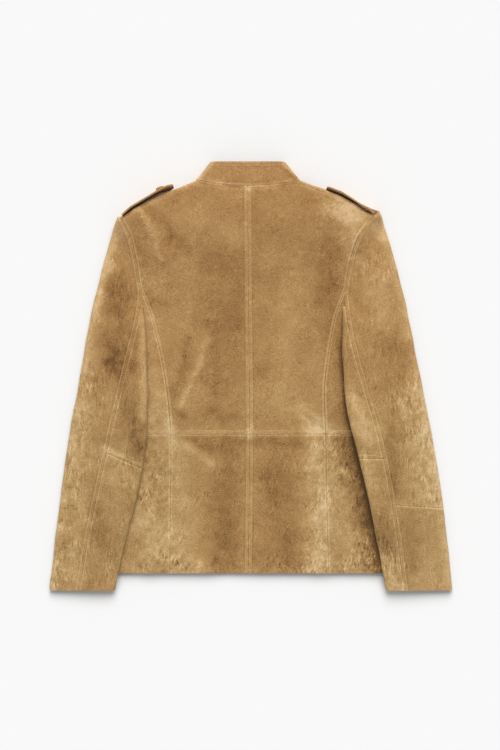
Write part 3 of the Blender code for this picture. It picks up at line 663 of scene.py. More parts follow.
SKIRT_NAP_AND_SHADOW = [
    Stroke(0.7, 5, [(-1, -92), (-1, -98)]),
    Stroke(0.5, 10, [(-128, -96), (-120, -116)]),
    Stroke(-0.45, 14, [(-96, -110), (-20, -112)]),
    Stroke(-0.4, 13, [(8, -108), (92, -108)]),
    Stroke(0.45, 8, [(-105, -112), (-64, -144)]),
    Stroke(0.18, 34, [(-165, -140), (-162, -290)]),
    Stroke(0.36, 24, [(-112, -160), (-106, -300)]),
    Stroke(0.3, 24, [(-166, -225), (-150, -262)]),
    Stroke(0.5, 10, [(-92, -302), (-60, -312)]),
    Stroke(0.6, 17, [(100, -100), (110, -190), (108, -316)]),
    Stroke(0.28, 30, [(140, -220), (176, -306)]),
    Stroke(0.3, 20, [(150, -120), (140, -180)]),
    Stroke(-0.38, 30, [(-44, -160), (-38, -300)]),
    Stroke(-0.1, 18, [(-42, -225), (-34, -275)]),
    Stroke(-0.38, 28, [(40, -150), (54, -290)]),
    Stroke(-0.15, 12, [(26, -172), (42, -192)]),
    Stroke(-0.12, 14, [(58, -256), (64, -290)]),
    # painted shadow of the right sleeve on the skirt beside its inner edge, in this stroke and the next
    Stroke(-0.35, 10, [(148, -112), (156, -160)]),
    Stroke(-0.3, 17, [(146, -100), (168, -180), (186, -240), (198, -300)]),
    Stroke(-0.3, 7, [(-166, -100), (-174, -140)]),
]
SLEEVE_NAP_AND_HIGHLIGHTS = [
    # along the left sleeve's outer fold: rubbed nap and a painted highlight on the fold
    Stroke(0.72, 15, [(-212, 262), (-264, 60), (-290, -80), (-314, -240), (-324, -343)]),
    Stroke(0.3, 16, [(-258, -60), (-276, -200), (-290, -330)]),
    # along the right sleeve's outer fold: rubbed nap and a painted highlight on the fold
    Stroke(0.62, 11, [(210, 260), (262, 60), (288, -80), (311, -240), (322, -343)]),
    Stroke(0.5, 26, [(250, -20), (270, -70), (286, -140)]),
    Stroke(0.4, 20, [(280, -170), (288, -206)]),
    Stroke(0.35, 24, [(190, 190), (214, 90)]),
    Stroke(0.5, 14, [(196, 250), (206, 226)]),
    Stroke(0.7, 15, [(166, -42), (184, -92)]),
    Stroke(0.4, 12, [(182, -120), (190, -176)]),
    Stroke(0.7, 16, [(214, -300), (226, -336)]),
    Stroke(0.15, 40, [(270, -280), (280, -340)]),
    Stroke(0.15, 20, [(280, -290), (292, -336)]),
    Stroke(0.35, 6, [(-197, 62), (-192, 38)]),
    # painted highlight on the rim of the left sleeve's inner fold
    Stroke(0.5, 5, [(-171, 95), (-172, 40), (-171, 0), (-172, -64)]),
    Stroke(-0.25, 9, [(-186, 66), (-188, 10)]),
    Stroke(0.3, 14, [(-222, -168), (-212, -186)]),
    Stroke(0.6, 6, [(-233, -116), (-206, -128)]),
    Stroke(0.25, 16, [(-212, -140), (-200, -160)]),
    Stroke(-0.5, 24, [(-212, 150), (-206, 70), (-214, 30)]),
    Stroke(0.3, 12, [(-222, 236), (-250, 110)]),
    Stroke(-0.45, 16, [(-222, 28), (-210, 0)]),
    Stroke(-0.42, 14, [(-201, -22), (-192, -66)]),
    Stroke(-0.35, 12, [(-192, -70), (-184, -108)]),
    Stroke(-0.35, 9, [(-173, -84), (-180, -128)]),
    Stroke(-0.4, 4, [(158, -26), (176, -29)]),
    Stroke(-0.35, 15, [(-246, -216), (-232, -268)]),
    Stroke(-0.3, 24, [(226, 60), (232, -20)]),
    Stroke(-0.4, 11, [(225, -75), (230, -195)]),
    Stroke(-0.35, 14, [(253, -235), (258, -305)]),
    Stroke(-0.3, 14, [(206, -220), (212, -270)]),
]
print(len(BACK_NAP_AND_HIGHLIGHTS + SKIRT_NAP_AND_SHADOW + SLEEVE_NAP_AND_HIGHLIGHTS), "strokes of nap")

# %% [markdown]
# The back, the skirt and the sleeves have their own strokes, so those of one don't run on over another.
# Underneath nothing was brushed on purpose, and broad quiet patches are enough. Beside the right sleeve the
# body gets a painted shadow, a dark band that follows the sleeve's edge.

# %% The nap at a place
UNDER_NAP = [
    Stroke(0.3, 30, [(-120, 200), (-90, 60)]),
    Stroke(-0.3, 34, [(-60, 20), (-80, -180)]),
    Stroke(0.3, 36, [(90, -60), (110, -260)]),
    Stroke(-0.3, 30, [(80, 220), (120, 90)]),
    Stroke(0.3, 14, [(-300, -160), (-250, -180)]),
    Stroke(0.3, 14, [(300, -140), (250, -170)]),
    Stroke(-0.3, 18, [(-260, 60), (-270, -40)]),
    Stroke(-0.3, 18, [(262, 40), (270, -60)]),
]


RAGGED_FROM = 16.0  # strokes at least this wide have the full wavy shift
SHIFTS = [Swell(5, 34, 21), Swell(1.3, 13, 22)]


def nap(x, y, up, strokes):
    """The brushed tone of the nap with some painted highlights and shadow, from -1 to 1."""
    shift_x = sum(s.height * swell(x, y, s.size, s.seed) for s in SHIFTS)
    shift_y = sum(s.height * swell(x, y, s.size, s.seed + 2) for s in SHIFTS)
    patchy = 1 + 0.14 * swell(x, y, 20, 25)

    def painted(stroke):
        rough = min(stroke.width / RAGGED_FROM, 1)
        moved = x + rough * shift_x, y + rough * shift_y
        return stroke.tone * near_line(*moved, stroke.points, stroke.width)

    seen, hidden = sum(map(painted, strokes)), sum(map(painted, UNDER_NAP))
    side = ease(0.5 + up)
    broad = 0.07 * swell(x, y, 70, 26)
    return (seen * side + hidden * (1 - side)) * patchy + broad


def painted_sleeve_shadow(x, y):
    """The right sleeve's painted shadow on the body beside it, in a band that widens toward the hem."""
    gap = np.maximum(SIDES[1].inner(y) - x, 0)
    band = 11 + 8 * ease((40 - y) / 200)
    shadow_depth = 0.5 * np.exp(-((gap / 4.5) ** 2)) + 0.72 * np.exp(-((gap / band) ** 2))
    return shadow_depth * ease((100 - y) / 60)


print("nap at the left shoulder:", nap(np.array([-150.0]), np.array([250.0]), np.ones(1), BACK_NAP_AND_HIGHLIGHTS).round(2))

# %% Where the nap is ruffled
RUFFLED = [
    Stroke(0.7, 28, [(250, -20), (276, -110), (292, -200)]),
    Stroke(0.7, 30, [(150, -130), (190, -300)]),
    Stroke(0.7, 34, [(-165, -130), (-140, -300)]),
    Stroke(0.4, 20, [(-220, -306), (220, -306)]),
    Stroke(0.8, 26, [(-270, -20), (-305, -330)]),
    Stroke(0.4, 28, [(130, 270), (200, 160)]),
    Stroke(0.35, 24, [(-170, 260), (-160, 140)]),
    Stroke(0.4, 18, [(90, -60), (120, -100)]),
    Stroke(0.5, 26, [(110, -120), (110, -300)]),
    Stroke(0.4, 16, [(226, -280), (240, -340)]),
]
QUIET = 0.37


def ruffle(x, y):
    """How mottled the nap is, from quiet in the middle of the back to ruffled at the sides."""
    return QUIET + sum(s.tone * near_line(x, y, s.points, s.width) for s in RUFFLED)


def warmth(x, y):
    """From 0, greener at the sides of the skirt, to 1, redder by the collar."""
    rise = 0.61 + 0.39 * ease((y - 100) / 220) - 0.17 * ease((60 - y) / 160)
    return rise - 0.26 * ease((np.abs(x) - 70) / 60) * ease((40 - y) / 150)


print("ruffle in the middle and at the hem:", ruffle(np.zeros(2), np.array([60.0, -300.0])).round(2))

# %% [markdown]
# ## Shader arithmetic
# A material is a small calculation at each place on a surface. Its nodes are easier to read as an
# expression, so this class wraps one socket, and +, - and * on it add the Math nodes. Any other node comes
# from `node`, which sets the node up and then fills its sockets with numbers or with other wrapped sockets.

# %% Wire
class Wire:
    """A value on its way through a material's nodes."""

    def __init__(self, tree, socket=None):
        self.tree, self.socket = tree, socket

    def node(self, kind, settings=(), inputs=(), output=0):
        made = self.tree.nodes.new(kind)
        for name, value in dict(settings).items():
            if name == "stops":
                ramp = made.color_ramp.elements
                while len(ramp) < len(value):
                    ramp.new(0.5)
                for stop, (place, colour) in zip(ramp, value):
                    stop.position, stop.color = place, (*colour, 1.0)
            else:
                setattr(made, name, value)
        for name, value in dict(inputs).items():
            if isinstance(value, Wire):
                self.tree.links.new(value.socket, made.inputs[name])
            else:
                made.inputs[name].default_value = value
        return Wire(self.tree, made.outputs[output])

    def maths(self, operation, *values):
        return self.node("ShaderNodeMath", {"operation": operation}, enumerate(values))

    def __add__(self, other):
        return self.maths("ADD", self, other)

    def __sub__(self, other):
        return self.maths("SUBTRACT", self, other)

    def __rsub__(self, other):
        return self.maths("SUBTRACT", other, self)

    def __mul__(self, other):
        return self.maths("MULTIPLY", self, other)

    __radd__ = __add__
    __rmul__ = __mul__


print("a wire knows", [name for name in vars(Wire) if "add" in name or "sub" in name or "mul" in name])

# %% [markdown]
# ## The suede
# The colour runs from a deep tan to a pale sand. What chooses it at each place is a sum: the brushed patches
# painted above, with the painted highlights and shadow among them, clouds of three sizes, short streaks of
# fibre that lie in changing directions, a fine grain, and the paler, rubbed leather along the seams, with
# painted shade in the hollows beside their topstitching. The same streaks and grain also lift the surface a
# little.
# Suede has no gloss, but its raised fibres catch light at the edges of a fold, and the sheen is for that.

# %% Colours of the suede
def linear(red, green, blue):
    """A colour given from 0 to 255, as the light that it sends back."""
    parts = [((c / 255 + 0.055) / 1.055) ** 2.4 for c in (red, green, blue)]
    return tuple(share * part for share, part in zip(BRIGHT, parts))


BRIGHT = (0.905, 0.885, 0.80)  # of the light that falls on it, once the sheen is added
Tone = namedtuple("Tone", "place red green blue")
TONES = [
    Tone(0.0, 106, 75, 42),
    Tone(0.07, 130, 93, 54),
    Tone(0.14, 142, 105, 63),
    Tone(0.27, 156, 118, 73),
    Tone(0.43, 172, 134, 88),
    Tone(0.58, 184, 148, 101),
    Tone(0.72, 196, 161, 115),
    Tone(1.0, 222, 192, 152),
]


def stops(warmth):
    """The colour ramp: warmth is 1 where it is reddest, by the collar, and -1 where it is greenest."""
    return [(t.place, linear(t.red + 3.4 * warmth, t.green - warmth, t.blue - 2.1 * warmth)) for t in TONES]


MIDDLE_TONE = 0.43
NAP_AND_PAINTED_LIGHT_STRENGTH = 0.46
print("middle tone reflects", [round(c, 3) for c in stops(0)[4][1]])


# %% The suede material
def new_material(name):
    """A material with its own shader, and a wire to build from."""
    material = bpy.data.materials.new(name)
    material.use_nodes = True
    shader = material.node_tree.nodes["Principled BSDF"]
    return material, shader, Wire(material.node_tree)


def noise(wire, place, size, detail=2.0, stretch=0.0):
    """Noise about 0 with features of that size in millimetres."""
    settings = {"noise_dimensions": "3D"}
    inputs = {"Vector": place, "Scale": 1000 / size, "Detail": detail, "Distortion": stretch}
    return wire.node("ShaderNodeTexNoise", settings, inputs) - 0.5


def along(wire, place, turn, stretch, size):
    """Streaks of that size along one direction: the place is turned, then squeezed along it."""
    turned = wire.node(
        "ShaderNodeMapping",
        {"vector_type": "TEXTURE"},
        {"Vector": place, "Rotation": (0, 0, math.radians(turn)), "Scale": (stretch, 1, 1)},
    )
    return noise(wire, turned, size, 1.5, 0.6)


Mark = namedtuple("Mark", "off width strength")  # a line at that distance off a seam
RIDGE = Mark(1.5, 0.9, 0.26)  # the edge of a seam, rubbed pale
WELT = Mark(2.4, 2.6, 0.05)
STITCHED = Mark(0.0, 0.9, 0.34)  # along the topstitching, and off that
# painted shade in the hollows on both sides of the topstitching
HOLLOWS = [Mark(-1.9, 0.8, 0.09), Mark(2.4, 1.1, 0.09)]  # dark on both sides of it
GROOVE = Mark(0.0, 0.9, 0.9)  # where two pieces meet


def line(wire, distance, mark):
    """1 at the mark's distance, falling to 0 over its width."""
    off = (distance - mark.off) * (1 / mark.width)
    return wire.maths("POWER", 2.718, off * off * -1)


Cloud = namedtuple("Cloud", "size detail strength")
CLOUDS = [Cloud(46, 3, 0.3), Cloud(17, 3, 0.56), Cloud(7, 2, 0.6)]
GRAIN = Cloud(1.4, 3, 1.2)
FIBRE_SIZE = 2.8
DRIFT, DRIFT_SIZE = 9.0, 30.0  # how far the clouds and fibres wander, and over what distance


def suede(name, streaks, combed, stretch, rubbed, stitched_ridge=1.0):
    """Suede combed along the streaks, rubbed at its seams, with painted shade beside its topstitching."""
    material, shader, wire = new_material(name)

    def painted(key):
        return wire.node("ShaderNodeAttribute", {"attribute_name": key}, output="Fac")

    def vectors(operation, inputs):
        return wire.node("ShaderNodeVectorMath", {"operation": operation}, inputs)

    place = wire.node("ShaderNodeTexCoord", output="Object")
    wander = {"Vector": place, "Scale": 1000 / DRIFT_SIZE, "Detail": 2.0}
    drift = vectors("SUBTRACT", {0: wire.node("ShaderNodeTexNoise", {}, wander, "Color"), 1: (0.5, 0.5, 0.5)})
    bent = vectors("ADD", {0: place, 1: vectors("SCALE", {0: drift, "Scale": DRIFT * MM})})
    seam, topstitch = painted("seam"), painted("topstitch")

    clouds = sum(noise(wire, bent, cloud.size, cloud.detail) * cloud.strength for cloud in CLOUDS)
    fibre = sum(along(wire, bent, turn, stretch, FIBRE_SIZE) for turn in streaks)
    grain = noise(wire, place, GRAIN.size, GRAIN.detail)
    chosen = noise(wire, bent, 24, 2)
    strength = wire.maths("MAXIMUM", 0.35 + 3.0 * chosen, 0.1)
    uneven = 0.85 + 1.8 * noise(wire, bent, 12, 2)
    has_row = wire.maths("GREATER_THAN", topstitch, 0.5)
    ridge = line(wire, seam, RIDGE) * uneven * (1 - (1 - stitched_ridge) * has_row)
    row = line(wire, seam - topstitch, STITCHED) * has_row
    # painted shade in those hollows beside the topstitching
    beside = sum(mark.strength * line(wire, seam - topstitch, mark) for mark in HOLLOWS) * has_row
    welt = WELT.strength * line(wire, seam, WELT)
    # seam wear, less the painted shade of those hollows
    seam_wear_and_shade = rubbed * (RIDGE.strength * ridge + STITCHED.strength * row * uneven + welt - beside)
    mottled = painted("ruffle") * (clouds + combed * fibre * strength) + GRAIN.strength * grain
    # the nap attribute holds the brushed tone with its painted highlights and shadows
    tone = MIDDLE_TONE + NAP_AND_PAINTED_LIGHT_STRENGTH * painted("nap") + mottled + seam_wear_and_shade
    cool = wire.node("ShaderNodeValToRGB", {"stops": stops(-1)}, {0: tone})
    warm = wire.node("ShaderNodeValToRGB", {"stops": stops(1)}, {0: tone})
    mixed = {0: painted("warmth"), 6: cool, 7: warm}
    colour = wire.node("ShaderNodeMix", {"data_type": "RGBA"}, mixed, output=2)
    height = 0.5 * (fibre + grain + clouds) - GROOVE.strength * line(wire, seam, GROOVE) - 0.25 * row
    bump = wire.node("ShaderNodeBump", {}, {"Strength": 0.35, "Distance": 0.5 * MM, "Height": height})
    rough = 0.93 - 0.12 * seam_wear_and_shade
    for socket, value in (("Base Color", colour), ("Roughness", rough), ("Normal", bump)):
        wire.tree.links.new(value.socket, shader.inputs[socket])
    shader.inputs["Specular IOR Level"].default_value = 0.2
    shader.inputs["Sheen Weight"].default_value = 0.25
    shader.inputs["Sheen Roughness"].default_value = 0.55
    shader.inputs["Sheen Tint"].default_value = (0.95, 0.82, 0.62, 1.0)
    return material


BODY_SUEDE = suede("body_suede", (20, 75, 140), 1.0, 4.5, 0.76)
SKIRT_SUEDE = suede("skirt_suede", (62, 78, 110), 1.3, 6.5, 0.8)
SLEEVE_SUEDE = suede("sleeve_suede", (78, 90, 104), 1.4, 8.0, 0.9, 0.3)
print("three cuts of suede, with their fibres in different directions")

# %% [markdown]
# ## Thread
# The topstitching is a tan thread a shade lighter than the suede. One stitch is a short rounded bead,
# modelled once, and each row of stitches is copies of it, laid along the seam 3 mm apart.

# %% The thread and one stitch
def thread():
    material, shader, wire = new_material("thread")
    place = wire.node("ShaderNodeTexCoord", output="Object")
    tone = 0.62 + 0.5 * noise(wire, place, 5)
    colour = wire.node("ShaderNodeValToRGB", {"stops": stops(0)}, {0: tone})
    wire.tree.links.new(colour.socket, shader.inputs["Base Color"])
    shader.inputs["Roughness"].default_value = 0.7
    return material


THREAD = thread()
STITCH_PITCH, STITCH_LONG, STITCH_THICK = 3.0, 2.2, 0.5


def one_stitch():
    """A bead along X, with its ends drawn to points, as vertices and faces."""
    bpy.ops.mesh.primitive_cylinder_add(vertices=5, radius=0.5, depth=1, rotation=(0, math.pi / 2, 0))
    bead = bpy.context.active_object
    bpy.ops.object.mode_set(mode="EDIT")
    bpy.ops.mesh.select_all(action="SELECT")
    bpy.ops.mesh.poke()
    bpy.ops.object.mode_set(mode="OBJECT")
    bpy.ops.object.transform_apply(location=True, rotation=True, scale=True)
    for vertex in bead.data.vertices:
        tip = math.hypot(vertex.co.y, vertex.co.z) < 0.1
        vertex.co.x *= 1.0 if tip else 0.62
    corners = np.array([vertex.co[:] for vertex in bead.data.vertices])
    faces = [list(face.vertices) for face in bead.data.polygons]
    bpy.data.objects.remove(bead)
    return corners * (STITCH_LONG, STITCH_THICK, STITCH_THICK), faces


BEAD, BEAD_FACES = one_stitch()
print(f"one stitch has {len(BEAD_FACES)} faces")

# %% [markdown]
# ## From a grid to a piece of suede
# A cloth piece is a grid primitive whose points are set to the places worked out for it, thickened both ways
# by a Solidify modifier. The distance to the nearest seam and the brushed tone, with its painted light, go
# with the points as attributes, so the material can draw a seam line much finer than the grid.

# %% Points that go with a grid
def reach_of(points):
    """Distance of each point of a grid from its four borders, along the cloth."""
    rows = np.linalg.norm(np.diff(points, axis=0), axis=-1)
    columns = np.linalg.norm(np.diff(points, axis=1), axis=-1)
    up = np.concatenate([np.zeros((1, points.shape[1])), np.cumsum(rows, axis=0)])
    over = np.concatenate([np.zeros((points.shape[0], 1)), np.cumsum(columns, axis=1)], axis=1)
    return {"bottom": up, "top": up[-1] - up, "start": over, "end": over[:, -1:] - over}


def outward_of(points, facing):
    """The cloth's normals, away from the wearer; facing is 1 or -1."""
    normal = np.cross(np.gradient(points, axis=1), np.gradient(points, axis=0)) * facing
    return normal / np.maximum(np.linalg.norm(normal, axis=-1, keepdims=True), 1e-9)


print("borders of a grid:", ", ".join(reach_of(np.zeros((2, 2, 3)))))


# %% A mesh from a grid
def grid_object(name, points, attributes, material, thick):
    """A wall of cloth whose middle lies on the grid of points."""
    rows, columns = points.shape[:2]
    bpy.ops.mesh.primitive_grid_add(x_subdivisions=columns - 1, y_subdivisions=rows - 1, size=2)
    piece = bpy.context.active_object
    piece.name = piece.data.name = name
    flat = np.empty(len(piece.data.vertices) * 3)
    piece.data.vertices.foreach_get("co", flat)
    flat = flat.reshape(-1, 3)
    i = np.rint((flat[:, 1] + 1) / 2 * (rows - 1)).astype(int)
    j = np.rint((flat[:, 0] + 1) / 2 * (columns - 1)).astype(int)
    piece.data.vertices.foreach_set("co", (points[i, j] * MM).ravel())
    for key, values in attributes.items():
        layer = piece.data.attributes.new(key, "FLOAT", "POINT")
        layer.data.foreach_set("value", values[i, j].astype(np.float32))
    wall = piece.modifiers.new("Wall", "SOLIDIFY")
    wall.thickness, wall.offset = thick * MM, 0
    bpy.ops.object.modifier_apply(modifier=wall.name)
    bpy.ops.object.shade_smooth_by_angle(angle=math.radians(50))
    piece.data.materials.append(material)
    piece.select_set(False)
    return piece


print("a piece is named, placed, thickened and given its suede in one go")


# %% A row of topstitching
def stitch_row(points, normals, reach, border, offset):
    """Where the stitches of one row go, as places, directions along it and directions off the cloth."""
    if border in ("bottom", "top"):
        points, normals, reach = points.swapaxes(0, 1), normals.swapaxes(0, 1), reach.T
    if border in ("end", "top"):
        points, normals, reach = points[:, ::-1], normals[:, ::-1], reach[:, ::-1]
    line_of = [
        [np.interp(offset, reach[k], grid[k, :, axis]) for k in range(len(points))]
        for grid in (points, normals)
        for axis in range(3)
    ]
    place, off = np.array(line_of[:3]).T, np.array(line_of[3:]).T
    steps = np.concatenate([[0], np.cumsum(np.linalg.norm(np.diff(place, axis=0), axis=1))])
    at = np.arange(STITCH_PITCH, steps[-1] - 1.5, STITCH_PITCH)
    place = np.column_stack([np.interp(at, steps, place[:, axis]) for axis in range(3)])
    off = np.column_stack([np.interp(at, steps, off[:, axis]) for axis in range(3)])
    run = np.gradient(place, axis=0)
    run /= np.linalg.norm(run, axis=1, keepdims=True)
    off /= np.linalg.norm(off, axis=1, keepdims=True)
    place = place + off * (SKIN + STITCH_THICK * 0.2)
    place[:, 2] = np.maximum(place[:, 2], STITCH_THICK)
    return place, run, off


def stitched(name, rows):
    """All the stitches of a piece as one object."""
    place, run, off = (np.concatenate(part) for part in zip(*rows))
    side = np.cross(off, run)
    axes = np.stack([run, side, off], axis=1)
    corners = place[:, None, :] + np.einsum("vk,nkc->nvc", BEAD, axes)
    faces = [[v + n * len(BEAD) for v in face] for n in range(len(place)) for face in BEAD_FACES]
    mesh = bpy.data.meshes.new(name)
    mesh.from_pydata((corners.reshape(-1, 3) * MM).tolist(), [], faces)
    mesh.materials.append(THREAD)
    made = bpy.data.objects.new(name, mesh)
    bpy.context.scene.collection.objects.link(made)
    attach(made, "root")
    return made


print("rows of stitches follow the cloth's own swells")


# %% A piece of suede, from its pattern to its stitches
def calm_of(side, out, y, on_sleeve, up):
    """How free the cloth is to swell: it lies close where a sleeve lies on the body."""
    under = ease((out - side.inner(y) + 4) / 12) * ease((side.inner_top - y) / 20)
    if on_sleeve:
        return 1 - 0.8 * ease(-2 * up)
    return 1 - 0.85 * under


def attributes_of(x, y, tone, seam, topstitch):
    """What the material reads at each point, with distances in millimetres."""
    return {"nap": tone, "ruffle": ruffle(x, y), "warmth": warmth(x, y), "seam": seam, "topstitch": topstitch}


def finish(node, points, attributes, material, pattern, rows, thick=WALL):
    """The piece that stands for a CAD node, with its rows of stitches and its flat cut."""
    piece = grid_object(f"suede_{node}", points, attributes, material, thick)
    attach(piece, "root")
    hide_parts(node)
    threads = [stitched(f"stitching_{node}", rows)] if rows else []
    declare(pattern, node)


def sew(node, side, pattern, place, facing, material, strokes, borders, step=FINE, on_sleeve=False):
    """A panel from its flat pattern. borders gives each border's topstitch, or None for a raw edge."""
    points = placed(side, *place(*np.moveaxis(finer(pattern, step), -1, 0)))
    reach = reach_of(points)
    normals = outward_of(points, facing)
    x, y, z = np.moveaxis(points, -1, 0)
    up = normals[..., 2]
    seams = [name for name, offset in borders.items() if offset is not None]
    distances = np.array([reach[name] for name in seams])
    seam = distances.min(axis=0)
    offsets = np.array([borders[name] for name in seams], float)[distances.argmin(axis=0)]
    calm = calm_of(side, side.sign * x, y, on_sleeve, up)
    points = points + normals * relief(x, y, z, up, seam, calm)[..., None]
    points[..., 2] = np.maximum(points[..., 2], SKIN)
    # beside the right sleeve the body's tone takes the sleeve's painted shadow
    tone = nap(x, y, up, strokes) - (0 if on_sleeve else painted_sleeve_shadow(x, y))
    attributes = attributes_of(x, y, tone, np.minimum(seam, FAR), offsets)
    rows = [
        stitch_row(points, normals, reach[name], name, offset) for name, offset in borders.items() if offset
    ]
    finish(node, points, attributes, material, pattern, rows)


def declare(pattern, node):
    """The flat cut that shows: the pattern's width and length, and its area by its outline."""
    outline = np.concatenate([pattern[0], pattern[1:, -1], pattern[-1, -2::-1], pattern[-2:0:-1, 0]])
    following = np.roll(outline, -1, axis=0)
    area = abs((outline[:, 0] * following[:, 1] - following[:, 0] * outline[:, 1]).sum()) / 2 * MM * MM
    width, length = np.ptp(pattern[..., 0]) * MM, np.ptp(pattern[..., 1]) * MM
    print(f"{node}: cut {width * 1000:.0f} x {length * 1000:.0f} mm, {area * 10000:.0f} square cm")


FAR = 20  # beyond this a seam leaves no mark
RESTS_ON = dict.fromkeys(
    ("collar", "top_sleeve_left", "top_sleeve_right_upper", "top_sleeve_right_lower"), ["floor"]
)
for end in ("left", "right"):
    RESTS_ON[f"front_{end}"] = ["floor"]
    RESTS_ON[f"back_{end}"] = [f"front_{end}"]
    RESTS_ON[f"side_back_{end}"] = ["floor", f"front_{end}"]
    RESTS_ON[f"skirt_back_{end}"] = [f"front_{end}"]
    RESTS_ON[f"skirt_side_{end}"] = ["floor", f"front_{end}"]
    RESTS_ON[f"shoulder_strap_{end}"] = [f"back_{end}"]
    for part in ("upper", "lower"):
        RESTS_ON[f"under_sleeve_{end}_{part}"] = [f"side_back_{end}", f"skirt_side_{end}", "floor"]
print("what lies on what:", len(RESTS_ON), "pieces")

# %% [markdown]
# ## The back
# The back is cut in four above the waist: two halves joined down the middle, and a side panel beyond each
# princess seam, which turns round the side and ends underneath. The topstitching stands 4 mm off the middle
# seam and 2.6 mm off the princess seam.

# %% Rows that neighbours share
BODY_ROWS = np.linspace(WAIST_Y, PRINCESS_TOP_Y, 8)
SKIRT_ROWS = np.linspace(HEM_Y, WAIST_Y, 6)
ROLL_TURNS = np.radians([64, 38, 16, 0])
MIDDLE_ROW, PRINCESS_ROW, WAIST_ROW, SLEEVE_ROW, ELBOW_ROW = 4.0, 2.6, 5.0, 4.7, 5.0
PLAIN = 0  # a seam with no topstitching


def ends_close(start, stop, count, share=0.5):
    """Places from start to stop that draw together toward stop."""
    t = np.linspace(0, 1, count)
    return start + (stop - start) * ((1 - share) * t + share * np.sin(t * math.pi / 2))


def armhole_rows(side, low):
    """Heights up an armhole, close together where it turns over the shoulder."""
    top = side.cap_y
    flat = np.linspace(low, top - SHOULDER_ROLL, 5)
    return np.concatenate([flat, top - SHOULDER_ROLL * (1 - np.cos(ROLL_TURNS))])


def top_border(side, neck, neck_line, armhole, end):
    """Border along the neck and then the shoulder, as far as the last point of the end border."""
    shoulder = np.linspace(side.neck_out, armhole(side.cap_y), 6)[1:]
    heights = np.concatenate([neck_line(neck), side.shoulder(shoulder)])
    top = np.column_stack([np.concatenate([neck, shoulder]), heights])
    top[-1] = end[-1]
    return top


print("a middle seam has its stitches", MIDDLE_ROW, "mm off")


# %% Back panels
def back_panel(side):
    rise = armhole_rows(side, PRINCESS_TOP_Y)
    rows = np.concatenate([BODY_ROWS[:-1], rise])
    edge = np.where(rows < PRINCESS_TOP_Y, side.princess(rows), side.armhole(rows))
    end = np.column_stack([edge, rows])
    neck = ends_close(side.middle(BACK_NECK_Y), side.neck_out, 6)
    top = top_border(side, neck, side.back_neck, side.armhole, end)
    outs = np.linspace(side.middle(WAIST_Y), side.princess(WAIST_Y), len(top))
    bottom = np.column_stack([outs, np.full(len(top), WAIST_Y)])
    spine = WAIST_Y + (side.back_neck(neck[0]) - WAIST_Y) * spread(end)
    start = np.column_stack([side.middle(spine), spine])
    grid = patch(bottom, top, start, end)

    def place(out, y):
        return out, y, body_skin(side, out, y, True)

    borders = {"start": MIDDLE_ROW, "end": PRINCESS_ROW, "bottom": WAIST_ROW, "top": PLAIN}
    sew(f"back_{side.name}", side, grid, place, side.sign, BODY_SUEDE, BACK_NAP_AND_HIGHLIGHTS, borders)


for half in SIDES:
    back_panel(half)


# %% Side panels of the back
UNDERARM_TUCK = 3.0  # the panel goes on under the sleeve there
UNDER_CLEAR = 1.6  # and stays clear of the front's armhole underneath


def side_columns(side, inner, second, y):
    """Cloth distances from a seam on the back, round the side fold, to the side seam."""
    flat = side.fold(np.minimum(y, UNDERARM[1])) - SIDE_ROLL
    arc = half_ellipse(SIDE_ROLL, BODY_LOFT)
    over = np.linspace(second, flat, 4)[:-1]
    return np.concatenate([[inner], over, flat + arc * np.linspace(0, 1, 6), [flat + arc + SIDE_SEAM_IN]])


def side_back(side):
    inner, low = side.princess, side.inner_top
    waist = side_columns(side, inner(WAIST_Y), inner(WAIST_Y) + 14, WAIST_Y)
    bottom = np.column_stack([waist, np.full(len(waist), WAIST_Y)])
    notch = side.armhole(low) + UNDERARM_TUCK
    head = side_columns(side, side.armhole(PRINCESS_TOP_Y), notch, UNDERARM[1])
    out = body_place(side, head, UNDERARM[1])[0]
    flat = UNDERARM[0] - SIDE_ROLL
    at_fold = flat + half_ellipse(SIDE_ROLL, BODY_LOFT) / 2
    down = np.interp(head, [notch, at_fold], [low, UNDERARM[1]])
    rising = np.interp(out, [flat - SIDE_SEAM_IN, UNDERARM[0]], [SIDE_SEAM_TOP_Y, UNDERARM[1] - 1])
    down = np.where(head > at_fold, rising - UNDER_CLEAR, down)
    down[0] = PRINCESS_TOP_Y
    top = np.column_stack([head, down])
    start = np.column_stack([inner(BODY_ROWS), BODY_ROWS])
    rows = WAIST_Y + (down[-1] - WAIST_Y) * spread(start)
    flat = side.fold(np.minimum(rows, UNDERARM[1])) - SIDE_ROLL
    end = np.column_stack([flat + half_ellipse(SIDE_ROLL, BODY_LOFT) + SIDE_SEAM_IN, rows])
    grid = patch(bottom, top, start, end)
    borders = {"start": PRINCESS_ROW, "end": PLAIN, "bottom": WAIST_ROW, "top": PLAIN}
    place = partial(body_place, side)
    sew(f"side_back_{side.name}", side, grid, place, side.sign, BODY_SUEDE, BACK_NAP_AND_HIGHLIGHTS, borders)
    return rows


UNDERARM_ROWS = {half.name: side_back(half) for half in SIDES}

# %% [markdown]
# ## The skirt
# Below the waist seam the same four cuts go on down to the hem, which is turned in and not topstitched.

# %% Skirt panels
def skirt_back(side):
    outs = np.linspace(side.middle(WAIST_Y), side.princess(WAIST_Y), 11)
    top = np.column_stack([outs, np.full(11, WAIST_Y)])
    low = np.linspace(side.middle(HEM_Y), side.princess(HEM_Y), 11)
    bottom = np.column_stack([low, np.full(11, HEM_Y)])
    start = np.column_stack([side.middle(SKIRT_ROWS), SKIRT_ROWS])
    end = np.column_stack([side.princess(SKIRT_ROWS), SKIRT_ROWS])
    grid = patch(bottom, top, start, end)
    lay_skirt(side, f"skirt_back_{side.name}", grid, {"start": MIDDLE_ROW, "end": PLAIN, "top": PLAIN})


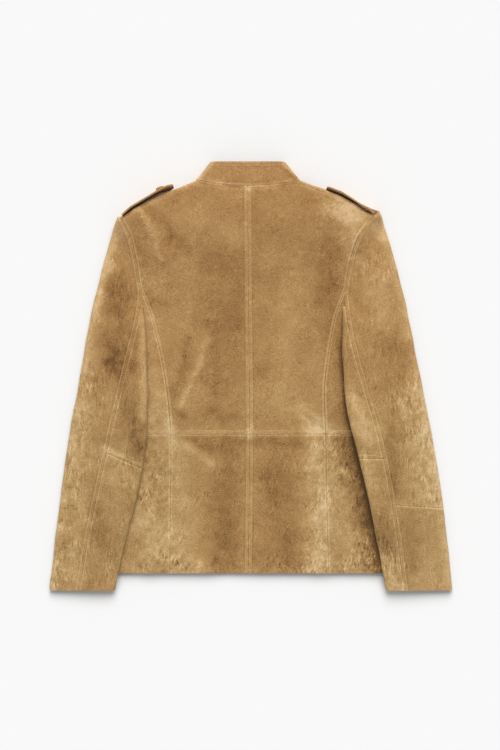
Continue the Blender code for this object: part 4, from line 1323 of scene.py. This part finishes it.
def skirt_side(side):
    rows = [side_columns(side, side.princess(y), side.princess(y) + 14, y) for y in SKIRT_ROWS]
    around = np.array(rows)
    y = np.broadcast_to(SKIRT_ROWS[:, None], around.shape)
    grid = np.stack([around, y], -1)
    lay_skirt(side, f"skirt_side_{side.name}", grid, {"start": PLAIN, "end": PLAIN, "top": PLAIN})


def lay_skirt(side, node, grid, borders):
    place = partial(body_place, side)
    sew(node, side, grid, place, side.sign, SKIRT_SUEDE, SKIRT_NAP_AND_SHADOW, {**borders, "bottom": None})


for half in SIDES:
    skirt_back(half)
    skirt_side(half)

# %% [markdown]
# ## The fronts
# The jacket lies on its fronts, so they don't show. They are finished plainly: one panel each, with the
# left front lapped inside the right one, and a row of topstitching down the front edge.

# %% Fronts
FRONT_ROW = 6.0


def front(side, side_rows):
    edge_out = side.sign * FRONT_MIDDLE - LAP
    low_rows = np.concatenate([SKIRT_ROWS[:-1], side_rows])
    seam = side.fold(np.minimum(low_rows, UNDERARM[1])) - SIDE_ROLL - SIDE_SEAM_IN
    rise = armhole_rows(side, side_rows[-1])[1:]
    rows = np.concatenate([low_rows, rise])
    end = np.column_stack([np.concatenate([seam, side.front_armhole(rise)]), rows])
    neck = np.concatenate([[edge_out], ends_close(side.sign * FRONT_MIDDLE, side.neck_out, 8)])
    top = top_border(side, neck, side.front_neck, side.front_armhole, end)
    outs = np.linspace(edge_out, seam[0], len(top))
    bottom = np.column_stack([outs, np.full(len(top), HEM_Y)])
    heights = HEM_Y + (side.front_neck(edge_out) - HEM_Y) * spread(end)
    start = np.column_stack([np.full(len(rows), edge_out), heights])
    grid = patch(bottom, top, start, end)

    def place(out, y):
        lap = LAP_RISE * (1 - ease((out - edge_out - 2 * LAP - 3) / 16)) if side.sign < 0 else 0
        return out, y, body_skin(side, out, y, False) + lap

    borders = {"start": FRONT_ROW, "end": PLAIN, "top": PLAIN, "bottom": None}
    sew(f"front_{side.name}", side, grid, place, -side.sign, BODY_SUEDE, UNDER_NAP, borders, COARSE)


for half in SIDES:
    front(half, UNDERARM_ROWS[half.name])

# %% [markdown]
# ## The collar
# The stand collar is one band: it lies on top behind the neck, turns at both sides, and lies underneath at
# the throat. A row of topstitching runs 6 mm inside its upper edge all the way round.

# %% Collar
COLLAR_ROW = 6.0
COLLAR_RINGS, COLLAR_COLUMNS = 17, 60


def band_half(side):
    """The band's lower and upper edge on one half, behind the neck and then at the throat, as places."""
    drawn = partial(ends_close, count=COLLAR_COLUMNS, share=0.85)
    neck = drawn(side.middle(BACK_NECK_Y), side.neck_out)
    corner_out, corner_y = COLLAR_CORNER[side.sign]
    tops = drawn(side.middle(BACK_NECK_Y), corner_out)
    high = COLLAR_TOP_Y - (COLLAR_TOP_Y - corner_y) * ease((tops - corner_out + 9) / 9)
    edge_out = side.sign * FRONT_MIDDLE
    base = drawn(edge_out, side.neck_out)
    rim = drawn(edge_out, corner_out)
    over = [(neck, side.back_neck(neck)), (tops, high)]
    under = [(base, side.front_neck(base)), (rim, side.front_collar_top(rim))]
    return [[np.column_stack(edge) for edge in half] for half in (over, under)]


def collar():
    rings = []
    for v in np.linspace(0, 1, COLLAR_RINGS):
        ring = []
        for side in SIDES:
            over, under = (((1 - v) * low + v * high) for low, high in band_half(side))
            under = under[:-1][::-1]
            z = np.concatenate([body_skin(side, *over.T, True), body_skin(side, *under.T, False)])
            both = np.vstack([over, under])
            ring.append(np.column_stack([side.sign * both[:, 0], both[:, 1], z]))
        rings.append(np.vstack([ring[0][::-1], ring[1][1:]]))
    points = set_back(np.array(rings), COLLAR_SEAM)
    reach, normals = reach_of(points), outward_of(points, 1)
    x, y, z = np.moveaxis(points, -1, 0)
    up = normals[..., 2]
    ends = np.minimum(reach["start"], reach["end"])
    points = points + normals * relief(x, y, z, up, reach["bottom"], 0.8)[..., None]
    points[..., 2] = np.maximum(points[..., 2], SKIN)
    seam = np.minimum(reach["bottom"], reach["top"])
    topstitch = np.where(reach["top"] < reach["bottom"], COLLAR_ROW, PLAIN)
    tone = nap(x, y, up, BACK_NAP_AND_HIGHLIGHTS) + 0.1
    attributes = attributes_of(x, y, tone, np.minimum(seam, ends + 4), topstitch)
    rows = [stitch_row(points, normals, reach["top"], "top", COLLAR_ROW)]
    finish("collar", points, attributes, BODY_SUEDE, np.stack([reach["start"], reach["bottom"]], -1), rows)


collar()

# %% [markdown]
# ## The sleeves
# Each sleeve is cut in two. The top sleeve goes from the armhole over the outer fold and ends underneath.
# The under sleeve is a narrower strip round the inner fold, with a seam across it at the elbow. On the
# right, the top sleeve is pieced as well, below the elbow.

# %% Stations down a sleeve
def sleeve_stations(side):
    """Heights of the rows on the sleeve's back seam, from cuff to armhole, parted by the seams across it."""
    elbow, piecing = ELBOW[side.sign][0], PIECING[side.sign]
    return (
        np.concatenate([[CUFF_Y], np.linspace(-322, piecing, 4)]),
        np.linspace(piecing, elbow, 4),
        np.linspace(elbow, side.inner_top - 1, 8),
    )


def front_height(side, y):
    """The height on the front seam that goes with one on the back seam."""
    return CUFF_Y + (UNDERARM[1] - CUFF_Y) * (y - CUFF_Y) / (side.inner_top - 1 - CUFF_Y)


def round_fold(low, high, bend, before, after):
    """Cloth distances from low to high, closer together within the bend on both sides of the fold."""
    bend = min(bend, 0.6 * -low, 0.6 * high)
    under, over = np.linspace(low, -bend, before)[:-1], np.linspace(bend, high, after)[1:]
    return np.concatenate([under, np.linspace(-bend, bend, 6), over])


def top_rows(side, ys_top, ys_under, tops, unders):
    """Rows of the top sleeve, each straight round the cloth between its two edges."""
    arounds, heights = [], []
    for y_top, y_under, top_out, under_out in zip(ys_top, ys_under, tops, unders):
        low = sleeve_around(side, under_out, y_under, "outer", False)
        high = sleeve_around(side, top_out, y_top, "outer", True)
        around = round_fold(low, high, 14.0, 6, 5)
        share = (around - around[0]) / (around[-1] - around[0])
        arounds.append(around)
        heights.append(y_under + (y_top - y_under) * share)
    return np.array(arounds), np.array(heights)


print("sleeve stations:", [len(part) for part in sleeve_stations(SIDES[1])])


# %% Top sleeves
def top_sleeve(side):
    lower, middle, upper = sleeve_stations(side)
    seam_top = np.concatenate([lower, middle[1:], upper[1:]])
    seam_under = front_height(side, seam_top)
    hole_top = np.concatenate([[PRINCESS_TOP_Y - 8], armhole_rows(side, PRINCESS_TOP_Y)])
    hole_under = np.concatenate([[112.0], armhole_rows(side, SIDE_SEAM_TOP_Y)])
    ys_top, ys_under = np.concatenate([seam_top, hole_top]), np.concatenate([seam_under, hole_under])
    tops = np.concatenate([side.back_seam(seam_top), side.armhole(hole_top)])
    unders = np.concatenate([side.front_seam(seam_under), side.front_armhole(hole_under)])
    around, y = top_rows(side, ys_top, ys_under, tops, unders)

    def lay(node, part, borders):
        grid = np.stack([around[part], y[part]], -1)
        borders = {"start": PLAIN, "end": SLEEVE_ROW, **borders}
        place = partial(sleeve_place, side, edge="outer")
        sew(node, side, grid, place, -side.sign, SLEEVE_SUEDE, SLEEVE_NAP_AND_HIGHLIGHTS, borders, on_sleeve=True)

    if side.sign < 0:
        lay("top_sleeve_left", slice(None), {"bottom": None, "top": PLAIN})
        return
    split = len(lower)
    fold_drop = PIECING_FOLD_Y - PIECING[side.sign]
    seam = around[split - 1]
    y[split - 1] += fold_drop * (1 - seam / np.where(seam > 0, seam[-1], seam[0]))
    lay("top_sleeve_right_lower", slice(None, split), {"bottom": None, "top": PLAIN})
    lay("top_sleeve_right_upper", slice(split - 1, None), {"bottom": PLAIN, "top": PLAIN})


for half in SIDES:
    top_sleeve(half)


# %% Under sleeves
def under_sleeve(side):
    lower, middle, upper = sleeve_stations(side)
    elbow_seam, elbow_fold = ELBOW[side.sign]
    for name, ys_top in (("lower", np.concatenate([lower, middle[1:]])), ("upper", upper)):
        arounds, heights = [], []
        for y_top in ys_top:
            y_under = front_height(side, y_top)
            high = sleeve_around(side, side.back_seam(y_top), y_top, "inner", True)
            low = sleeve_around(side, side.front_seam(y_under), y_under, "inner", False)
            around = round_fold(low, high, 8.0, 5, 4)
            near = ease(1 - abs(y_top - elbow_seam) / 90)
            fold_y = y_top + (elbow_fold - elbow_seam) * near
            y = np.interp(around, [low, 0, high], [y_under, fold_y, y_top])
            arounds.append(around)
            heights.append(y)
        grid = np.stack([arounds, heights], -1)
        bottom = None if name == "lower" else ELBOW_ROW
        borders = {"start": PLAIN, "end": PLAIN, "bottom": bottom, "top": PLAIN}
        node, place = f"under_sleeve_{side.name}_{name}", partial(sleeve_place, side, edge="inner")
        sew(node, side, grid, place, side.sign, SLEEVE_SUEDE, SLEEVE_NAP_AND_HIGHLIGHTS, borders, on_sleeve=True)


for half in SIDES:
    under_sleeve(half)

# %% [markdown]
# ## Shoulder straps and their buttons
# Each strap is two layers of suede, sewn in at the sleeve head. It stands on edge along the shoulder, so
# from above it is a narrow line with a dark gap beside it. A covered button closes its rounded end.

# %% Straps
Strap = namedtuple("Strap", "out left right")
STRAP_OFF = [
    Strap(206, 2.1, 3.2),
    Strap(200, 2.9, 3.8),
    Strap(192, 3.7, 5.5),
    Strap(184, 3.8, 5.6),
    Strap(176, 4.1, 5.0),
    Strap(168, 4.9, 4.5),
    Strap(160, 5.8, 4.3),
    Strap(151, 6.8, 3.7),
    Strap(142, 6.9, 3.6),
    Strap(134, 6.6, 3.6),
    Strap(122, 6.0, 3.2),
]
STRAP_LEAN_TABLE = [  # outward for each millimetre up
    Strap(200, -0.04, -0.30),
    Strap(192, -0.03, -0.24),
    Strap(184, -0.03, -0.18),
    Strap(176, -0.03, -0.13),
    Strap(160, -0.03, -0.06),
    Strap(146, 0.0, 0.02),
    Strap(134, 0.08, 0.05),
    Strap(122, 0.17, 0.12),
]
STRAP_ENDS = {-1: (205.0, 122.5), 1: (198.0, 121.0)}


def strap_line(side, outs):
    """Middle of a strap and the direction that it faces, in plan."""
    y = side.shoulder(outs) + curve(STRAP_OFF, "out", side.name)(outs)
    tangent = np.column_stack([np.gradient(outs), np.gradient(y)])
    tangent /= np.linalg.norm(tangent, axis=1)[:, None]
    return y, np.column_stack([tangent[:, 1], -tangent[:, 0]])


STRAP_ACROSS, STRAP_ALONG = 15, 34  # rows across it, and columns before its rounded end
STRAP_END = 15.0  # length of that end
STRAP_EDGE_ROW = 4.0
STRAP_TUCK = 1.5  # its lower edge goes in under the shoulder


def strap(side):
    start, tip = STRAP_ENDS[side.sign]
    turns = np.radians([8, 16, 25, 33, 42, 50, 58, 66, 75])
    straight = np.linspace(start, tip + STRAP_END, STRAP_ALONG)
    outs = np.concatenate([straight, tip + STRAP_END * (1 - np.sin(turns))])
    y, facing = strap_line(side, outs)
    round_end = np.sqrt(1 - np.clip((tip + STRAP_END - outs) / (STRAP_END + 1), 0, 1) ** 2)
    lean = curve(STRAP_LEAN_TABLE, "out", side.name)(outs)
    rows = []
    for across in np.linspace(-0.5, 0.5, STRAP_ACROSS):
        rise = across * STRAP_WIDTH * round_end
        off = lean * rise - STRAP_TUCK * ease((-rise - 3) / 13)
        place = np.column_stack([outs, y]) + facing * off[:, None]
        rows.append(np.column_stack([side.sign * place[:, 0], place[:, 1], STRAP_CENTRE_Z + rise]))
    points = np.array(rows)
    reach = reach_of(points)
    normals = outward_of(points, -side.sign)
    x, y, z = np.moveaxis(points, -1, 0)
    edge = np.minimum(np.minimum(reach["bottom"], reach["top"]), reach["end"])
    tone = 0.3 * swell(x + z, y, 30, 31)
    topstitch = np.full(x.shape, STRAP_EDGE_ROW)
    attributes = attributes_of(x, y, tone, np.minimum(edge + 0.6, FAR), topstitch)
    raised = points + normals * (STRAP_THICK / 2 - SKIN)
    rows = [stitch_row(raised, normals, reach[name], name, STRAP_EDGE_ROW) for name in ("bottom", "top")]
    pattern = np.stack([reach["start"], reach["bottom"]], -1)
    finish(f"shoulder_strap_{side.name}", points, attributes, BODY_SUEDE, pattern, rows, STRAP_THICK)


for half in SIDES:
    strap(half)

# %% Buttons
BUTTON_GAP = 0.2
BUTTON_DEPTH = {-1: 3.4, 1: 1.5}


def strap_button(side):
    """A low domed button: a cylinder with its face inset, raised and bevelled, covered in suede."""
    tip = STRAP_ENDS[side.sign][1]
    outs = tip + BUTTON_FROM_TIP + np.array([2, 0, -2])
    y, facing = strap_line(side, outs)
    depth = BUTTON_DEPTH[side.sign]
    lean = curve(STRAP_LEAN_TABLE, "out", side.name)(outs[1])
    away = facing[1] * (STRAP_THICK / 2 + BUTTON_GAP + depth / 2)
    middle = (side.sign * (outs[1] + away[0]) * MM, (y[1] + away[1]) * MM, STRAP_CENTRE_Z * MM)
    turn = (0, math.pi / 2 + math.atan(lean), math.atan2(facing[1, 1], side.sign * facing[1, 0]))
    bpy.ops.mesh.primitive_cylinder_add(
        vertices=32, radius=BUTTON_RADIUS * MM, depth=depth * MM, location=middle, rotation=turn
    )
    button = bpy.context.active_object
    button.name = button.data.name = f"covered_button_{side.name}"
    bpy.ops.object.mode_set(mode="EDIT")
    bpy.ops.mesh.select_all(action="DESELECT")
    bpy.ops.object.mode_set(mode="OBJECT")
    for face in button.data.polygons:
        face.select = face.normal.z > 0.9
    bpy.ops.object.mode_set(mode="EDIT")
    bpy.ops.mesh.select_mode(type="FACE")
    bpy.ops.mesh.inset(thickness=2.2 * MM, depth=0.5 * depth * MM - 0.6 * MM)
    bpy.ops.mesh.select_all(action="SELECT")
    bpy.ops.object.mode_set(mode="OBJECT")
    soft = button.modifiers.new("Soft rim", "BEVEL")
    soft.width, soft.segments, soft.limit_method = 0.5 * MM, 3, "ANGLE"
    bpy.ops.object.modifier_apply(modifier=soft.name)
    bpy.ops.object.transform_apply(location=True, rotation=True, scale=True)
    bpy.ops.object.shade_smooth_by_angle(angle=math.radians(50))
    button.data.materials.append(BUTTON_SUEDE)
    button.select_set(False)
    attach(button, "root")
    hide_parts(f"strap_button_{side.name}")
    print(button.name, "faces", len(button.data.polygons))


BUTTON_SUEDE = suede("button_suede", (30, 120), 1.0, 3.0, 1.0)
for half in SIDES:
    strap_button(half)

# %% [markdown]
# ## Table, light and camera
# A matt white table, one broad soft light from beyond the collar and an even white surround give the faint
# shadow under the hem and cuffs. The camera looks straight down.

# %% Table
bpy.ops.mesh.primitive_plane_add(size=30, location=(0, 0, 0))
floor = bpy.context.active_object
floor.name = "floor"
FLOOR_WHITE = 0.86
white, white_shader, _ = new_material("table_white")
white_shader.inputs["Base Color"].default_value = (FLOOR_WHITE, FLOOR_WHITE, FLOOR_WHITE, 1.0)
white_shader.inputs["Roughness"].default_value = 1.0
white_shader.inputs["Specular IOR Level"].default_value = 0.0
floor.data.materials.append(white)
floor.select_set(False)
print("table in place")

# %% Light
SUN_STRENGTH, SURROUND = 2.85, 0.44
bpy.ops.object.light_add(type="SUN", rotation=(math.radians(-43), math.radians(4), 0))
sun = bpy.context.active_object
sun.data.energy, sun.data.angle = SUN_STRENGTH, math.radians(48)
surround = bpy.data.worlds.new("surround")
surround.use_nodes = True
surround.node_tree.nodes["Background"].inputs["Strength"].default_value = SURROUND
surround.node_tree.nodes["Background"].inputs["Color"].default_value = (1.0, 1.0, 1.0, 1.0)
bpy.context.scene.world = surround
bpy.context.scene.view_settings.view_transform = "Standard"
print("sun", SUN_STRENGTH, "and surround", SURROUND)

# %% Camera
CAMERA_HEIGHT = 2.843
bpy.ops.object.camera_add(location=(-0.0008, 0.0012, CAMERA_HEIGHT), rotation=(0, 0, 0))
camera = bpy.context.active_object
camera.data.lens, camera.data.sensor_width = 85, 36
bpy.context.scene.camera = camera
print("camera", CAMERA_HEIGHT, "m above the table")
